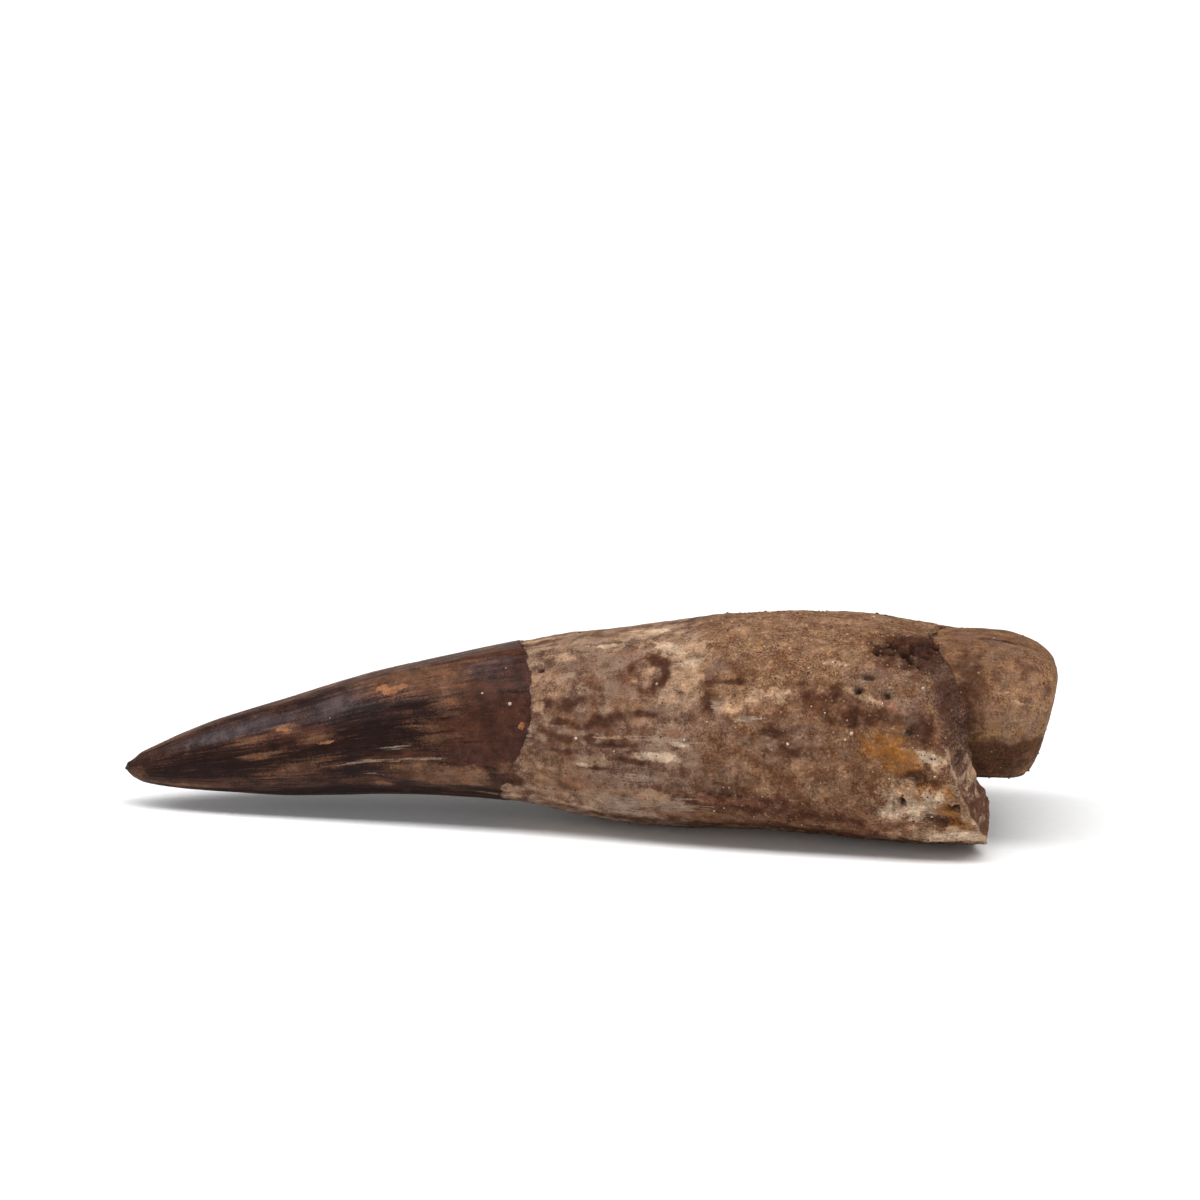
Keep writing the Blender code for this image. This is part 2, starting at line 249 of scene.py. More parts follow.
WALL_MARKS = {
    "brown": (
        # The first two brown marks are painted shade: they darken the middle and lower front of the root.
        (61.0, -6, 9.0, 4.2, 0, 0.8),
        (61.0, -32, 13.0, 3.2, 0, 1.0),
        (65.4, 26, 5.4, 2.0, -4, 1.4),
        (60.0, 20, 4.4, 1.2, 0, 0.9),
        (54.2, 34, 1.5, 3.4, 0, 1.3),
        (71.8, 66, 4.0, 3.8, 0, 1.1),
        (60.0, 16, 4.0, 1.4, 0, 0.7),
        (44.2, 16, 4.6, 2.2, 2, 0.8),
        (41.0, 4, 2.8, 1.6, 0, 0.8),
        (46.2, 44, 3.0, 1.0, 8, 0.7),
        (57.0, 44, 3.0, 1.4, 0, 0.6),
        (73.5, 16, 2.6, 2.4, 0, 0.9),
    ),
    "umber": (
        (35.2, 12, 6.2, 9.0, 0, 1.2),
        (34.0, 66, 5.0, 2.8, 0, 1.0),
        (29.0, 42, 2.6, 1.6, 5, 0.8),
    ),
    "bay": (
        (30.4, 48, 2.6, 2.6, 0, 0.8),
        (31.0, 12, 2.6, 2.0, 0, 0.6),
        (33.5, 76, 4.5, 1.0, 0, 0.9),
        (29.6, -22, 5.4, 1.5, -5, 1.0),
        (16.4, -14, 4.2, 1.3, 4, 0.8),
        (7.5, -34, 5.5, 0.7, 0, 0.8),
        (17.6, 26, 4.0, 0.9, -6, 0.9),
        (11.0, 20, 3.0, 0.6, 0, 0.7),
        (2.0, 10, 1.4, 1.6, 0, 0.2),
        (26.0, -8, 4.0, 0.6, 0, 0.8),
        (23.0, -33, 3.5, 0.5, 0, 0.8),
    ),
    "soot": (
        (25.0, 18, 5.8, 1.6, -4, 1.35),
        (21.5, 32, 3.4, 1.2, -3, 1.0),
        (27.6, 33, 2.8, 0.7, 2, 1.0),
        (30.2, 24, 1.9, 0.9, 0, 0.9),
        (20.2, 3, 5.0, 1.3, 0, 1.2),
        (12.0, 2, 5.5, 1.6, 0, 1.2),
        (22.0, -20, 3.0, 0.45, 0, 0.8),
        # This long soot mark is painted shade along the lower side of the crown.
        (20.0, -54, 14.0, 1.5, 0, 1.3),
        (31.5, -38, 4.5, 0.45, -6, 1.0),
        (35.4, -24, 1.3, 0.5, -30, 0.9),
        (27.2, 37, 2.0, 0.22, 6, 0.9),
        (24.6, 60, 1.6, 0.14, 8, 0.9),
        (8.0, 8, 6.0, 1.8, 0, 0.7),
    ),
    # Slate marks on the upper crown are partly a grey bloom and partly a painted highlight of the overhead
    # light.
    "slate": (
        (20.6, 52, 3.4, 1.6, 0, 1.5),
        (12.0, 50, 7.0, 0.9, 0, 1.3),
        (33.2, 60, 3.2, 1.0, 0, 0.7),
    ),
    "rust": (
        (27.4, 61, 5.4, 1.9, 4, 1.3),
        (20.0, 92, 20.0, 0.9, 0, 0.75),
        (4.5, 84, 4.5, 0.5, 0, 0.8),
        (28.6, 49, 2.8, 1.0, 6, 0.9),
        (30.0, -26, 4.6, 1.5, -3, 1.5),
        (30.6, 30, 1.6, 0.9, 0, 0.6),
        (25.4, 70, 4.4, 1.3, 2, 1.2),
        (29.6, 62, 3.0, 1.4, 0, 1.1),
        (30.8, 52, 1.6, 2.2, 0, 0.9),
        (29.4, 13, 2.2, 0.9, -8, 0.7),
        (12.5, 30, 2.2, 0.5, 0, 0.6),
        (13.5, 8, 1.8, 0.35, 0, 0.6),
        (15.4, 37, 1.6, 0.5, -8, 0.7),
        (18.4, 20, 1.8, 0.5, -6, 0.7),
        (16.6, -12, 3.2, 1.0, 6, 0.8),
        (24.3, -38, 1.3, 0.35, 0, 0.9),
        (1.4, -25, 1.2, 0.7, 0, 0.2),
        (5.5, -42, 4.5, 0.35, 0, 0.8),
        (36.2, -17, 0.9, 0.5, 0, 0.8),
        (61.9, 27, 0.9, 0.4, 0, 0.9),
        (62.9, 18, 1.0, 0.45, 0, 0.8),
        (73.6, -10, 1.6, 0.6, -15, 0.9),
        (50.9, -20, 0.9, 0.45, -10, 0.9),
        (41.2, -24, 2.0, 0.7, 0, 0.6),
        (49.6, 53, 1.2, 0.35, 15, 0.8),
        (69.6, 26, 0.8, 0.4, 0, 0.9),
    ),
    "tan": (
        (31.2, -25, 3.2, 0.9, -3, 1.1),
        (29.0, -17, 3.4, 0.3, 0, 0.5),
        (24.4, -37, 1.0, 0.2, 0, 0.9),
        (34.6, -46, 2.6, 0.22, -4, 0.7),
        (39.5, 40, 1.4, 1.6, 0, 0.55),
        (39.4, -21, 2.4, 2.4, 0, 0.9),
        (46.6, 29, 3.2, 0.8, 0, 0.5),
        (45.0, 84, 6.5, 1.1, 0, 0.7),
        (40.0, -14, 2.8, 1.2, 0, 0.8),
        (43.0, -30, 4.0, 1.1, 0, 0.7),
        (48.2, 20, 2.0, 0.7, 0, 0.7),
        (56.0, 27, 1.7, 1.2, 0, 1.2),
        (59.1, 29, 2.2, 1.3, 6, 1.2),
        (62.2, 19, 1.0, 0.7, 0, 1.0),
        (57.5, -4, 2.2, 0.75, -22, 1.3),
        (58.6, -14, 2.4, 0.8, -22, 1.2),
        (62.8, -7, 1.6, 1.3, -20, 1.2),
        (57.5, 76, 6.0, 2.2, 0, 0.95),
        (62.0, 84, 9.0, 2.2, 0, 0.8),
        (63.6, 60, 4.4, 1.5, 0, 0.6),
        (67.5, 50, 1.6, 0.8, 0, 0.8),
        (65.4, -16, 2.4, 1.6, 0, 0.6),
        (55.8, 8, 0.9, 0.5, 0, 0.8),
        (68.9, -30, 4.5, 0.8, 0, 0.8),
    ),
    "dun": (
        (44.8, 55, 3.4, 0.9, 0, 0.9),
        (46.4, 34, 2.4, 1.0, 6, 0.8),
        (50.0, 27, 2.6, 0.8, -6, 0.8),
        (44.2, -17, 2.6, 1.1, 0, 1.0),
        (49.4, -10, 2.8, 0.9, 0, 0.6),
        (47.8, 3, 3.0, 0.4, 0, 0.8),
        (54.6, 46, 1.3, 1.4, 0, 0.9),
        (55.2, 17, 1.7, 1.4, 0, 0.9),
        (69.0, 38, 3.0, 2.2, 0, 0.9),
        (71.5, 24, 2.0, 1.6, -20, 1.0),
        (60.5, 10, 5.0, 1.6, 0, 0.6),
        (55.6, -12, 2.0, 2.0, 0, 0.7),
        (42.0, 58, 2.6, 1.4, 0, 1.0),
    ),
    "dark": (
        (42.1, 29, 1.5, 0.9, 0, 1.3),
        (39.4, 29, 1.0, 0.5, -10, 0.95),
        (45.1, 19, 2.2, 0.7, 9, 1.3),
        (43.0, 14, 1.1, 0.4, 0, 0.9),
        (45.3, 4.5, 2.3, 0.32, 4, 1.0),
        (41.2, 7, 2.2, 0.45, -5, 0.8),
        (41.4, -1, 2.6, 0.3, 0, 0.7),
        (38.9, 4, 0.7, 1.0, 0, 0.8),
        (43.8, 8, 1.6, 0.5, 6, 1.1),
        (47.6, -4, 2.0, 0.35, -4, 1.1),
        (40.6, 17, 1.1, 0.35, 0, 1.1),
        (48.5, 23, 1.6, 0.35, 0, 0.9),
        (47.5, 1.5, 0.7, 0.2, 0, 0.9),
        (44.3, -10, 1.4, 0.2, 0, 0.8),
        (55.6, 37.5, 2.5, 0.32, 0, 1.0),
        (54.2, 28, 0.8, 1.0, 0, 0.8),
        (64.3, 31, 3.8, 1.1, -5, 0.6),
        (68.6, 21, 3.6, 0.85, -4, 0.8),
        (59.6, 13, 1.3, 0.5, 0, 0.8),
        (57.0, -27, 6.5, 1.3, -2, 0.95),
        (64.0, -34, 6.0, 0.9, 0, 0.9),
        (55.3, -20, 2.3, 1.0, 0, 0.7),
        (71.3, 61, 3.0, 2.7, 0, 1.7),
        (72.2, 67, 2.2, 2.4, 0, 1.3),
        (71.4, 56, 1.4, 1.2, 0, 1.7),
        (72.6, 17, 1.3, 1.7, -10, 1.2),
        (39.0, 52, 0.4, 0.4, 0, 1.6),
        (71.8, 14, 1.2, 1.5, -10, 0.9),
        # This dark mark darkens the hollow under the pale ridge with painted shadow.
        (72.8, -7, 2.6, 0.9, -14, 1.2),
        (74.7, -28, 2.2, 0.7, -6, 1.3),
        (71.4, -19, 0.35, 0.5, 0, 1.4),
        (74.9, -19, 0.4, 0.4, 0, 1.4),
        (70.2, -21, 0.35, 0.5, 0, 1.4),
        (76.6, -14, 1.2, 0.5, -50, 0.9),
        (36.6, -28, 0.95, 0.90, 0, 2.0),
        (62.0, 3, 2.5, 0.6, 0, 0.6),
        # These two long dark marks are painted shade along the lower side of the root.
        (47.5, -50, 9.0, 0.9, 0, 0.6),
        (62.0, -52, 13.0, 1.6, 0, 0.9),
        (35.7, -28, 0.9, 0.8, 0, 1.8),
    ),
    "grey": (
        (46.0, -35, 2.4, 1.5, 0, 1.5),
        (50.0, 9, 2.8, 0.3, -4, 1.4),
        (38.3, 8, 0.28, 0.75, 0, 0.8),
        (57.8, 19, 1.1, 0.35, 0, 0.5),
        (51.5, -31, 2.0, 0.8, 0, 0.7),
        (55.0, 24, 0.5, 0.5, 0, 0.5),
        (46.5, 77, 2.0, 0.4, 0, 0.8),
        (48.3, -14, 1.6, 0.4, 0, 0.8),
        (72.4, -22, 2.6, 0.8, 0, 0.9),
        (24.3, -11, 3.4, 0.16, 2, 0.85),
        (26.2, 1, 2.6, 0.14, 0, 0.45),
        (24.4, -25, 1.3, 0.1, 0, 0.55),
        (29.6, -10, 1.3, 0.12, 0, 0.6),
    ),
    "cream": (
        (50.7, 63, 2.5, 1.7, -15, 0.95),
        (52.2, 46, 1.6, 2.0, 0, 1.2),
        (51.4, 32, 1.7, 0.9, 0, 0.7),
        (48.8, 80, 3.4, 1.5, 0, 0.9),
        (53.0, 60, 0.9, 1.2, 0, 0.9),
        (38.6, 91, 2.4, 0.5, 0, 1.0),
        (44.5, 69, 1.7, 0.4, 0, 1.0),
        (41.0, 62, 2.0, 0.5, 0, 0.3),
        (39.2, 27, 0.5, 0.7, 0, 0.7),
        (45.7, 9.5, 2.4, 0.2, 5, 1.1),
        (49.4, -24, 1.7, 0.6, -16, 1.4),
        (59.0, 31.5, 1.9, 0.55, 8, 0.95),
        (56.1, 25, 0.9, 0.5, 0, 0.6),
        (60.4, 29, 0.5, 0.7, 0, 0.9),
        (68.2, 29.5, 1.7, 0.35, -22, 0.8),
        (73.6, 4, 2.0, 0.7, -16, 1.1),
        (71.6, -19, 3.0, 1.4, -3, 1.1),
        (74.4, -18, 1.8, 1.1, -3, 1.0),
        (71.0, -15, 1.6, 0.8, 0, 1.0),
        (75.2, -13, 1.2, 0.8, -20, 1.0),
        (75.4, -41, 4.8, 1.4, 3, 1.5),
        (77.2, -28, 0.9, 0.6, 0, 0.9),
        (36.5, -48, 2.6, 0.3, -4, 0.6),
        (42.5, -45, 3.0, 0.4, -4, 0.6),
        (64.9, 48, 0.8, 0.45, 0, 0.9),
    ),
    "red": (
        (51.1, 12, 0.8, 0.5, 0, 1.4),
        (48.0, -26, 0.4, 0.5, 0, 0.9),
        (50.5, -28, 1.4, 0.22, -20, 0.9),
        (69.6, 27, 1.0, 0.35, -15, 0.9),
        (42.6, -22, 1.6, 0.6, 0, 0.6),
        (47.0, 62, 2.0, 0.5, 10, 0.6),
        (56.0, -24, 4.0, 0.6, -4, 0.7),
        (72.0, -38, 4.5, 0.5, 0, 0.7),
    ),
    "amber": (
        (69.8, 9, 2.2, 1.7, 0, 1.7),
        (70.9, 2, 1.9, 1.2, 0, 1.9),
        (74.0, -14, 1.6, 0.9, -10, 0.9),
        (76.6, -31, 1.2, 0.5, 0, 0.6),
        (72.8, -16, 1.2, 0.45, 0, 0.7),
        (74.9, -23, 1.3, 0.7, -20, 1.3),
    ),
    "orange": (
        (24.4, 58, 0.6, 0.42, 0, 1.4),
        (25.3, 51.5, 0.8, 0.45, 0, 1.4),
        (26.3, 53.5, 0.65, 0.38, 8, 1.3),
        (19.4, 13, 0.75, 0.16, 0, 1.0),
        (37.6, 14, 0.35, 0.35, 0, 0.55),
        (15.0, 38, 0.4, 0.2, 0, 0.5),
        (15.7, 35, 0.9, 0.16, -8, 0.8),
    ),
    "white": (
        (50.1, -0.5, 2.2, 0.5, -2, 1.2),
        (44.7, 69, 1.2, 0.32, 0, 1.1),
        (43.2, -9, 0.9, 0.22, 0, 1.1),
        (47.0, 86, 1.2, 0.25, 0, 1.0),
        (51.6, 6.5, 1.0, 0.24, -10, 1.3),
        (73.5, 5.0, 1.4, 0.5, -16, 1.4),
        (72.2, -22, 0.9, 1.3, 0, 1.2),
        (70.4, -20, 0.5, 1.2, 0, 1.2),
        (73.6, -17, 0.8, 1.1, 10, 1.2),
        (70.4, -26, 1.4, 0.7, 0, 1.0),
        (74.2, -15, 0.6, 0.7, 0, 0.9),
        (76.6, -41, 3.4, 0.9, 3, 1.8),
        (49.2, 82, 1.5, 0.6, -15, 1.5),
        (50.4, 62, 1.6, 0.6, -30, 1.0),
        (52.4, 50, 0.9, 0.6, 0, 0.9),
    ),
}
CORE_MARKS = {
    "tan": (
        (81.6, 30, 2.6, 2.6, 0, 0.9),
        (77.0, 52, 2.2, 1.2, 0, 0.4),
        (80.0, 12, 3.0, 1.2, -8, 0.7),
        (80.0, 150, 4.0, 3.0, 0, 0.7),
    ),
    "dun": (
        (79.2, 56, 2.2, 1.5, 20, 1.0),
        (79.0, 70, 4.0, 1.6, 0, 0.9),
        (81.0, 2, 4.0, 1.4, 0, 1.1),
        (81.0, 200, 4.0, 1.5, 0, 0.7),
    ),
    "rust": (
        (78.5, 82, 6.5, 1.4, 0, 1.1),
        (77.6, 8, 1.5, 1.2, 0, 0.8),
        (77.0, 58, 3.4, 3.0, 0, 0.9),
        (81.5, 44, 1.6, 0.5, 0, 0.6),
        (79.0, 110, 5.0, 1.6, 0, 0.8),
    ),
    "dark": (
        # The marks at -31, -17, -70 and 235 degrees are painted shade on the lower core; the two at 76.6
        # are painted shadow cast by the broken wall onto the core.
        (80.0, -31, 6.0, 2.2, 0, 1.0),
        (80.0, -17, 6.0, 1.1, 0, 1.5),
        (76.6, -6, 1.5, 3.0, 0, 1.0),
        (76.6, 28, 1.4, 3.4, 0, 1.0),
        (80.0, -70, 6.0, 3.5, 0, 1.0),
        (80.0, 235, 6.0, 3.0, 0, 0.8),
        (79.8, 74, 2.2, 0.5, 0, 0.8),
    ),
    "cream": (
        (81.5, 16, 1.6, 0.16, -10, 0.7),
        (80.2, 24, 1.4, 0.14, 15, 0.6),
    ),
}
FACE_MARKS = {
    "cream": (
        (74.9, 2.5, 0.6, 0.5, 0, 1.0),
        (76.4, -8, 1.3, 0.3, -40, 0.9),
        (77.4, -16, 1.0, 0.3, -50, 0.5),
        (78.0, -52, 1.2, 0.8, 0, 1.0),
    ),
    "brown": (
        (77.5, -28, 2.0, 3.0, 0, 1.0),
        (78.6, -42, 2.2, 2.6, 0, 0.9),
    ),
    "dark": (
        (77.5, -25, 1.6, 1.2, 0, 0.5),
        (73.0, 63, 2.6, 2.6, 0, 1.4),
        (75.0, 30, 1.0, 2.0, 0, 0.8),
    ),
}

# The far side has marks of the same kinds, moved and resized at random.
FAR_SEED = 23
FAR_TURN = 195.0                # a mark's angle and its far partner's add up to this
FAR_ANGLE_SPREAD = 16.0
FAR_ALONG_SPREAD = 2.6
FAR_GROWTH = (0.75, 1.3)
FAR_DENTS = 4                   # added to the seed for each kind of mark
FAR_LUMPS = 5
FAR_STAINS = 10                 # the first stain's; each next stain adds one

WARP_LEAST = 0.35               # how much the warp bends the narrowest mark
WARP_GAIN = 0.5                 # and how much more for each millimetre of half width
STAIN_STOP = 4.0                # takes a stain off past the enamel's edge
STAIN_STOP_RUN = 0.25
FIRMEST = 1.5                   # the most that a narrow mark is strengthened
NO_STAIN = -3.0

# The knot's ring is darkest on the side of the root and fades towards the crown:
# its stains, how strong they are and how much they fade.
RING_STAINS = (("brown", 1.6, 0.5), ("dark", 1.15, 1.1))
RING_TURN = 0.2                 # the darkest side's angle, in radians
RING_CLEARED = ("tan", "dun", "cream", "grey")
RING_CLEARING = 1.6
BOSS_STAINS = (("tan", 0.9), ("cream", 0.6))

DENT_DARK_SHARE = 0.92
DENT_DARK_TOP = -0.32                # darkening starts in what is deeper than this
DENT_DARK_BOTTOM = -0.52             # and is darkest from here down
RUBBED_RUN = 0.7                # how far from the broken edge the wall is rubbed
RUBBED_FACE = 0.45
RUBBED_LEAST = 0.25
RUBBED_ANGLE = -35.0            # the middle of the rubbed part of the edge
RUBBED_SPREAD = (0.55, 0.85)    # cosine of the angle from it where rubbing starts and is full
FACE_RUN = 2.8                  # the broken face's colour starts this far before its edge
FACE_RUN_ANGLE = 60.0           # the middle of the part where it does
FACE_RUN_SPREAD = (0.3, 0.7)    # cosine of the angle from it where this starts and is full
FACE_AT_EDGE = 0.5              # the face's attribute at its edge; further in it is 1
FACE_WHOLE = 0.5                # from this share of the way in
FACE_ROOM = (0.35, WIDE)        # room where the face's colour starts and is full

# ---- Dents and lumps ------------------------------------------------------------------
# Distance from the tip, angle, half length, half width, tilt, height.

DENTS = (
    (75.8, -20, 0.70, 0.40, 20, -0.60),
    (71.2, -19, 0.40, 0.60, 0, -0.55),
    (39.0, 52, 0.40, 0.40, 0, -0.32),
    (36.5, -29, 0.65, 0.65, 0, -0.14),
    (60.2, 52, 0.55, 0.75, 20, -0.22),
    (67.2, 34, 0.60, 0.55, 0, -0.36),
    (69.4, 32, 0.65, 0.65, 0, -0.38),
    (68.3, 42, 0.95, 0.60, 0, -0.42),
    (67.1, 66, 0.50, 0.45, 0, -0.30),
    (66.9, 17, 0.95, 0.45, 0, -0.36),
    (71.2, 57, 0.90, 0.75, 0, -0.65),
    (71.6, 52, 0.60, 0.55, 0, -0.60),
    (70.2, 61, 0.45, 0.45, 0, -0.50),
    (71.0, 65, 0.50, 0.45, 0, -0.50),
    (69.2, 62, 0.60, 0.50, 0, -0.40),
    (70.6, 74, 0.70, 0.60, 0, -0.45),
    (71.8, 16, 0.60, 0.90, 0, -0.35),
    (70.4, -19.5, 0.32, 0.60, 0, -0.42),
    (71.3, -18, 0.35, 0.32, 0, -0.32),
    (74.9, -19, 0.50, 0.45, 0, -0.42),
    (75.0, -27, 2.40, 0.60, -6, -0.22),
    (72.4, -6, 2.00, 0.50, -16, -0.25),
    (42.1, 29, 1.40, 0.90, 0, -0.10),
    (45.3, 4.5, 2.20, 0.30, 4, -0.12),
    (45.1, 19, 2.20, 0.60, 9, -0.10),
    (38.6, 4, 0.60, 0.90, 0, -0.08),
    (55.4, 19, 2.80, 0.14, -6, -0.12),
    (71.5, 24, 1.80, 1.40, -20, -0.18),
)
DENT_SLOPE = 0.6                # a dent is flat from this share of the way to its middle
LUMP_BASE = 0.75                # the part of a lump that isn't knobbly
LUMP_SLOPE = 1.0                # a lump rises all the way to its middle
LUMPS = (
    (48.6, 44.5, 1.10, 1.00, 0, 0.16),
    (50.1, -0.5, 2.20, 0.55, -2, 0.07),
    (68.4, 28.5, 2.00, 0.45, -22, 0.24),
    (73.6, 4, 2.00, 0.65, -16, 0.50),
    (71.4, -17, 2.20, 1.20, 0, 0.30),
    (74.2, -16, 2.40, 1.10, -10, 0.36),
    (74.6, -43, 4.60, 0.80, 3, 0.30),
    (58.0, 30, 3.20, 1.30, 4, 0.06),
    (49.4, -24, 1.80, 0.70, -16, 0.08),
)

# The root is spongy beside the break, on both sides.
POROUS_MARK = (71.0, 62, 3.4, 3.2, 0, 1.0)
FAR_POROUS_MARK = (73.0, 215, 3.2, 3.0, 0, 1.0)
POROUS_SIZE = 0.85
POROUS_DEPTH = 0.6
POROUS_SEED = 71
POROUS_SLOPE = (0.55, 0.25)     # from a pore's middle, in cells: where it starts and is full
POROUS_FADE = (-0.05, 0.35)     # a mark's strength where the pores start and are full
POROUS_EDGE = 3.0               # where the face is narrow, they stop this far before it

PIT_SPACING = 2.1               # small pits scattered over the root
PIT_DEPTH = 0.24
PIT_SEED = 68
PIT_SLOPE = (0.30, 0.12)        # from a pit's middle, in cells: where it starts and is full
PIT_GROUPS = (-0.1, 0.3)        # height of their clusters where pits start and are full

FLUTES = 19                     # long flutes round the crown
FLUTE_START = 5.0               # they rise from here, from the tip
FLUTE_FULL = 16.0
ENAMEL_EDGE = 0.1               # half width of the step at the enamel's edge
ENAMEL_STEP_RUN = 6.0           # the neck is level with the enamel again after this
ROOT_EDGE_RUN = 1.5             # half width of the change from neck to root
NECK_LEVEL = 0.4                # keeps nearly all of each relief under the solid's surface
ROOT_LEVEL = 0.5
FRACTURE_LEVEL = 0.3
CORE_LEVEL = 0.5

# Thin layers in the lower part of the core.
BEDS = 1.1                      # layers in a millimetre
BED_DEPTH = 0.16
BED_TOP = 11.0                  # they fade in from here down, above the floor
BED_FULL = 9.0
BED_SLOPE = (0.16, 0.02)        # from a layer's middle, in layers: where it starts and is full
BED_END_RUN = 1.0               # they fade over this far before and past the core's end

TIP_CHIP_DEPTH = 0.26
TIP_CHIP_RUN = 1.8
TIP_CHIP_FULL = 0.2
TIP_CHIP_GROUPS = (-0.3, 0.4)   # height of their noise where chips start and are full

# ---- Sand ---------------------------------------------------------------------------

# Larger pale grains: distance from the tip, angle, radius.
PALE_GRAINS = (
    (36.35, 28, 0.20),
    (33.8, 37, 0.14),
    (19.8, 38, 0.10),
    (42.5, 8, 0.17),
    (45.9, 1, 0.18),
    (49.6, 39, 0.16),
    (61.3, 7, 0.16),
    (66.7, 13, 0.23),
    (66.2, 11, 0.16),
    (64.9, 48, 0.24),
    (58.9, 20, 0.14),
    (62.8, 45, 0.12),
    (61.1, 57, 0.14),
    (64.5, 22, 0.10),
    (72.9, 38, 0.15),
    (54.9, 26, 0.14),
)
SAND_SEED = 7
NECK_SAND = 0.35                # sand on each part, if the root has 1
CROWN_SAND = 0.03
FACE_SAND = 0.6
CORE_SAND = 0.5
SAND_CONTRAST = 1.5             # more than 1 keeps the sand to the sandiest parts
LEAST_SAND = 0.15               # chance of a grain between clusters, if 1 is in them
SAND_GROUPS = (-0.35, 0.6)      # height of the clusters where they start and are full
SAND_ROOT_RUN = (-2.0, 1.5)     # past the neck, where the root's sand starts and is full
SAND_FREE_HEIGHT = 0.6          # no loose grain lies lower than this
GRAIN_SPREAD = 0.26             # spread of the grains' sizes, as a logarithm
GRAIN_RANGE = (0.6, 1.6)
GRAIN_TONES = (2.3, 2.0)        # shape of the spread of tones: a little over the middle
PALE_TONES = (0.85, 0.97)
PALE_SHIFT = 3.0                # how far a far pale grain is from its near partner
PALE_TURN = 15.0
GRAIN_SINK = 0.7                # the most that a grain is sunk, in radii
GRAIN_STRETCH = (0.75, 1.15)
GRAIN_LUMPS = (0.82, 1.12)

# ---- Finishes -------------------------------------------------------------------------

# Enamel fibres, a few hundredths of a millimetre wide, are too fine to show, so they
# are drawn as streaks and threads of these sizes.
STREAK_LENGTH = 5.0
STREAK_WIDTH = 0.5
THREAD_LENGTH = 2.4
THREAD_WIDTH = 0.14
MOTTLE_SIZE = 1.2               # blotches of mineral stain
BROAD_SIZE = 5.0                # slow changes of tone along the root
FINE_SIZE = 0.17                # the finest tone that shows
SAND_SIZE = 0.24                # fine to medium sand
NOISE_GAIN = 7.5                # stretches the noise from its middle to about -1 to 1
APATITE_IOR = 1.63
QUARTZ_IOR = 1.55
SHINE = 0.05                    # dust and fine wear leave little of the clean shine
LIGHT_GRAIN = 0.55              # how much lighter the lightest grains are
DARK_GRAIN = 0.18               # how much darker the darkest grains are
FINE_TONE = 0.13                # how much the finest tone changes the colour
CLOUD_TONE = 0.12               # how much faint clouds of dust change it
THREAD_TONE = 0.05              # how much single fibres change it
RICHNESS = 0.05                 # how much blotches change how rich it is
LIGHT_GRAIN_POWER = 6.0         # higher makes the light grains fewer
DARK_GRAIN_POWER = 4.0
GRAIN_HEIGHT = 0.05             # height of a caked grain over the hollows beside it
BLOTCH_HEIGHT = 0.022           # unevenness outside the enamel, at the size of a blotch
FINE_HEIGHT = 0.008             # and at the finest size
STREAK_HEIGHT = 0.006           # unevenness everywhere, along the fibres
THREAD_HEIGHT = 0.0025
DULL_ROUGHNESS = 0.88           # sandy bone
ENAMEL_ROUGHNESS = 0.42         # enamel polished by handling
ROUGHNESS_CHANGE = 0.04
TONE_STOPS = (0.2, 0.5, 0.8)    # where each zone's deep, main and pale colours lie
FACE_EDGE = (0.25, 0.8)         # the face's attribute where its colour starts and is full
CROWN_SOFTNESS = 0.06           # half width of the change of colour at the enamel's edge
ROOT_SOFTNESS = 0.9             # and from neck to root
STAIN_OUTLINE = 0.22            # a mark's strength where its painted edge lies
FACE_FRAY = 0.3                 # how much the edge of the broken face is frayed
FINE_FRAY = 0.16                # how much the finest noise frays every mark
STAIN_WIDTH = 0.8               # half width of a mark that frays as much as its stain says
RUBBED = "a58b75"
RUBBED_FRAY = 0.35
RUBBED_COVER = 0.6
RUBBED_EDGE = (0.45, 0.95)      # the rubbed attribute where the colour starts and is full
# near-black colour laid in the deepest dents, by their depth alone
DENT_DARK = "1d120d"
SAND_TONES = ((0.0, "35241c"), (0.35, "51392b"), (0.65, "6f5543"), (0.85, "8d735f"), (1.0, "cbb8a3"))
GRAIN_MOTTLE = 0.15             # blotches on a loose grain, in millimetres
GRAIN_RELIEF = 0.02
GRAIN_CONTRAST = (0.3, 0.7)     # the blotches' noise where they are darkest and lightest
GRAIN_SHADES = (0.82, 1.15)
GRAIN_ROUGHNESS = (0.45, 0.75)
PAPER_TONES = ((0.3, "f0f0f0"), (0.7, "f3f3f3"))
PAPER_FIBRE = 1.0               # paper fibre, drawn far coarser than the real one to show
PAPER_ROUGHNESS = 0.9
PAPER_SHINE = 0.2
WHITE = (1.0, 1.0, 1.0, 1.0)

# The noise that mottles each zone, with its weight, and the zone's colours.
Zone = namedtuple("Zone", "name noises colours")
ZONES = (
    Zone(
        "neck",
        {"mottle_b": 0.30, "streak_c": 0.12, "broad_a": 0.16, "fine": 0.16},
        ("neck_deep", "neck", "neck_pale"),
    ),
    Zone(
        "root",
        {"mottle_c": 0.17, "broad_b": 0.12, "streak_b": 0.05, "fine": 0.28},
        ("root_deep", "root", "root_pale"),
    ),
    Zone(
        "crown",
        {"streak_a": 0.19, "thread_a": 0.12, "mottle_a": 0.24, "broad_a": 0.16, "fine": 0.22},
        ("crown_deep", "crown", "crown_pale"),
    ),
    Zone(
        "face",
        {"thread_b": 0.10, "mottle_a": 0.20, "broad_a": 0.16, "streak_b": 0.12, "fine": 0.22},
        ("face_deep", "face", "face_pale"),
    ),
    Zone(
        "core",
        {"mottle_a": 0.26, "broad_b": 0.26, "mottle_c": 0.14, "fine": 0.32},
        ("core_deep", "core", "core_pale"),
    ),
)

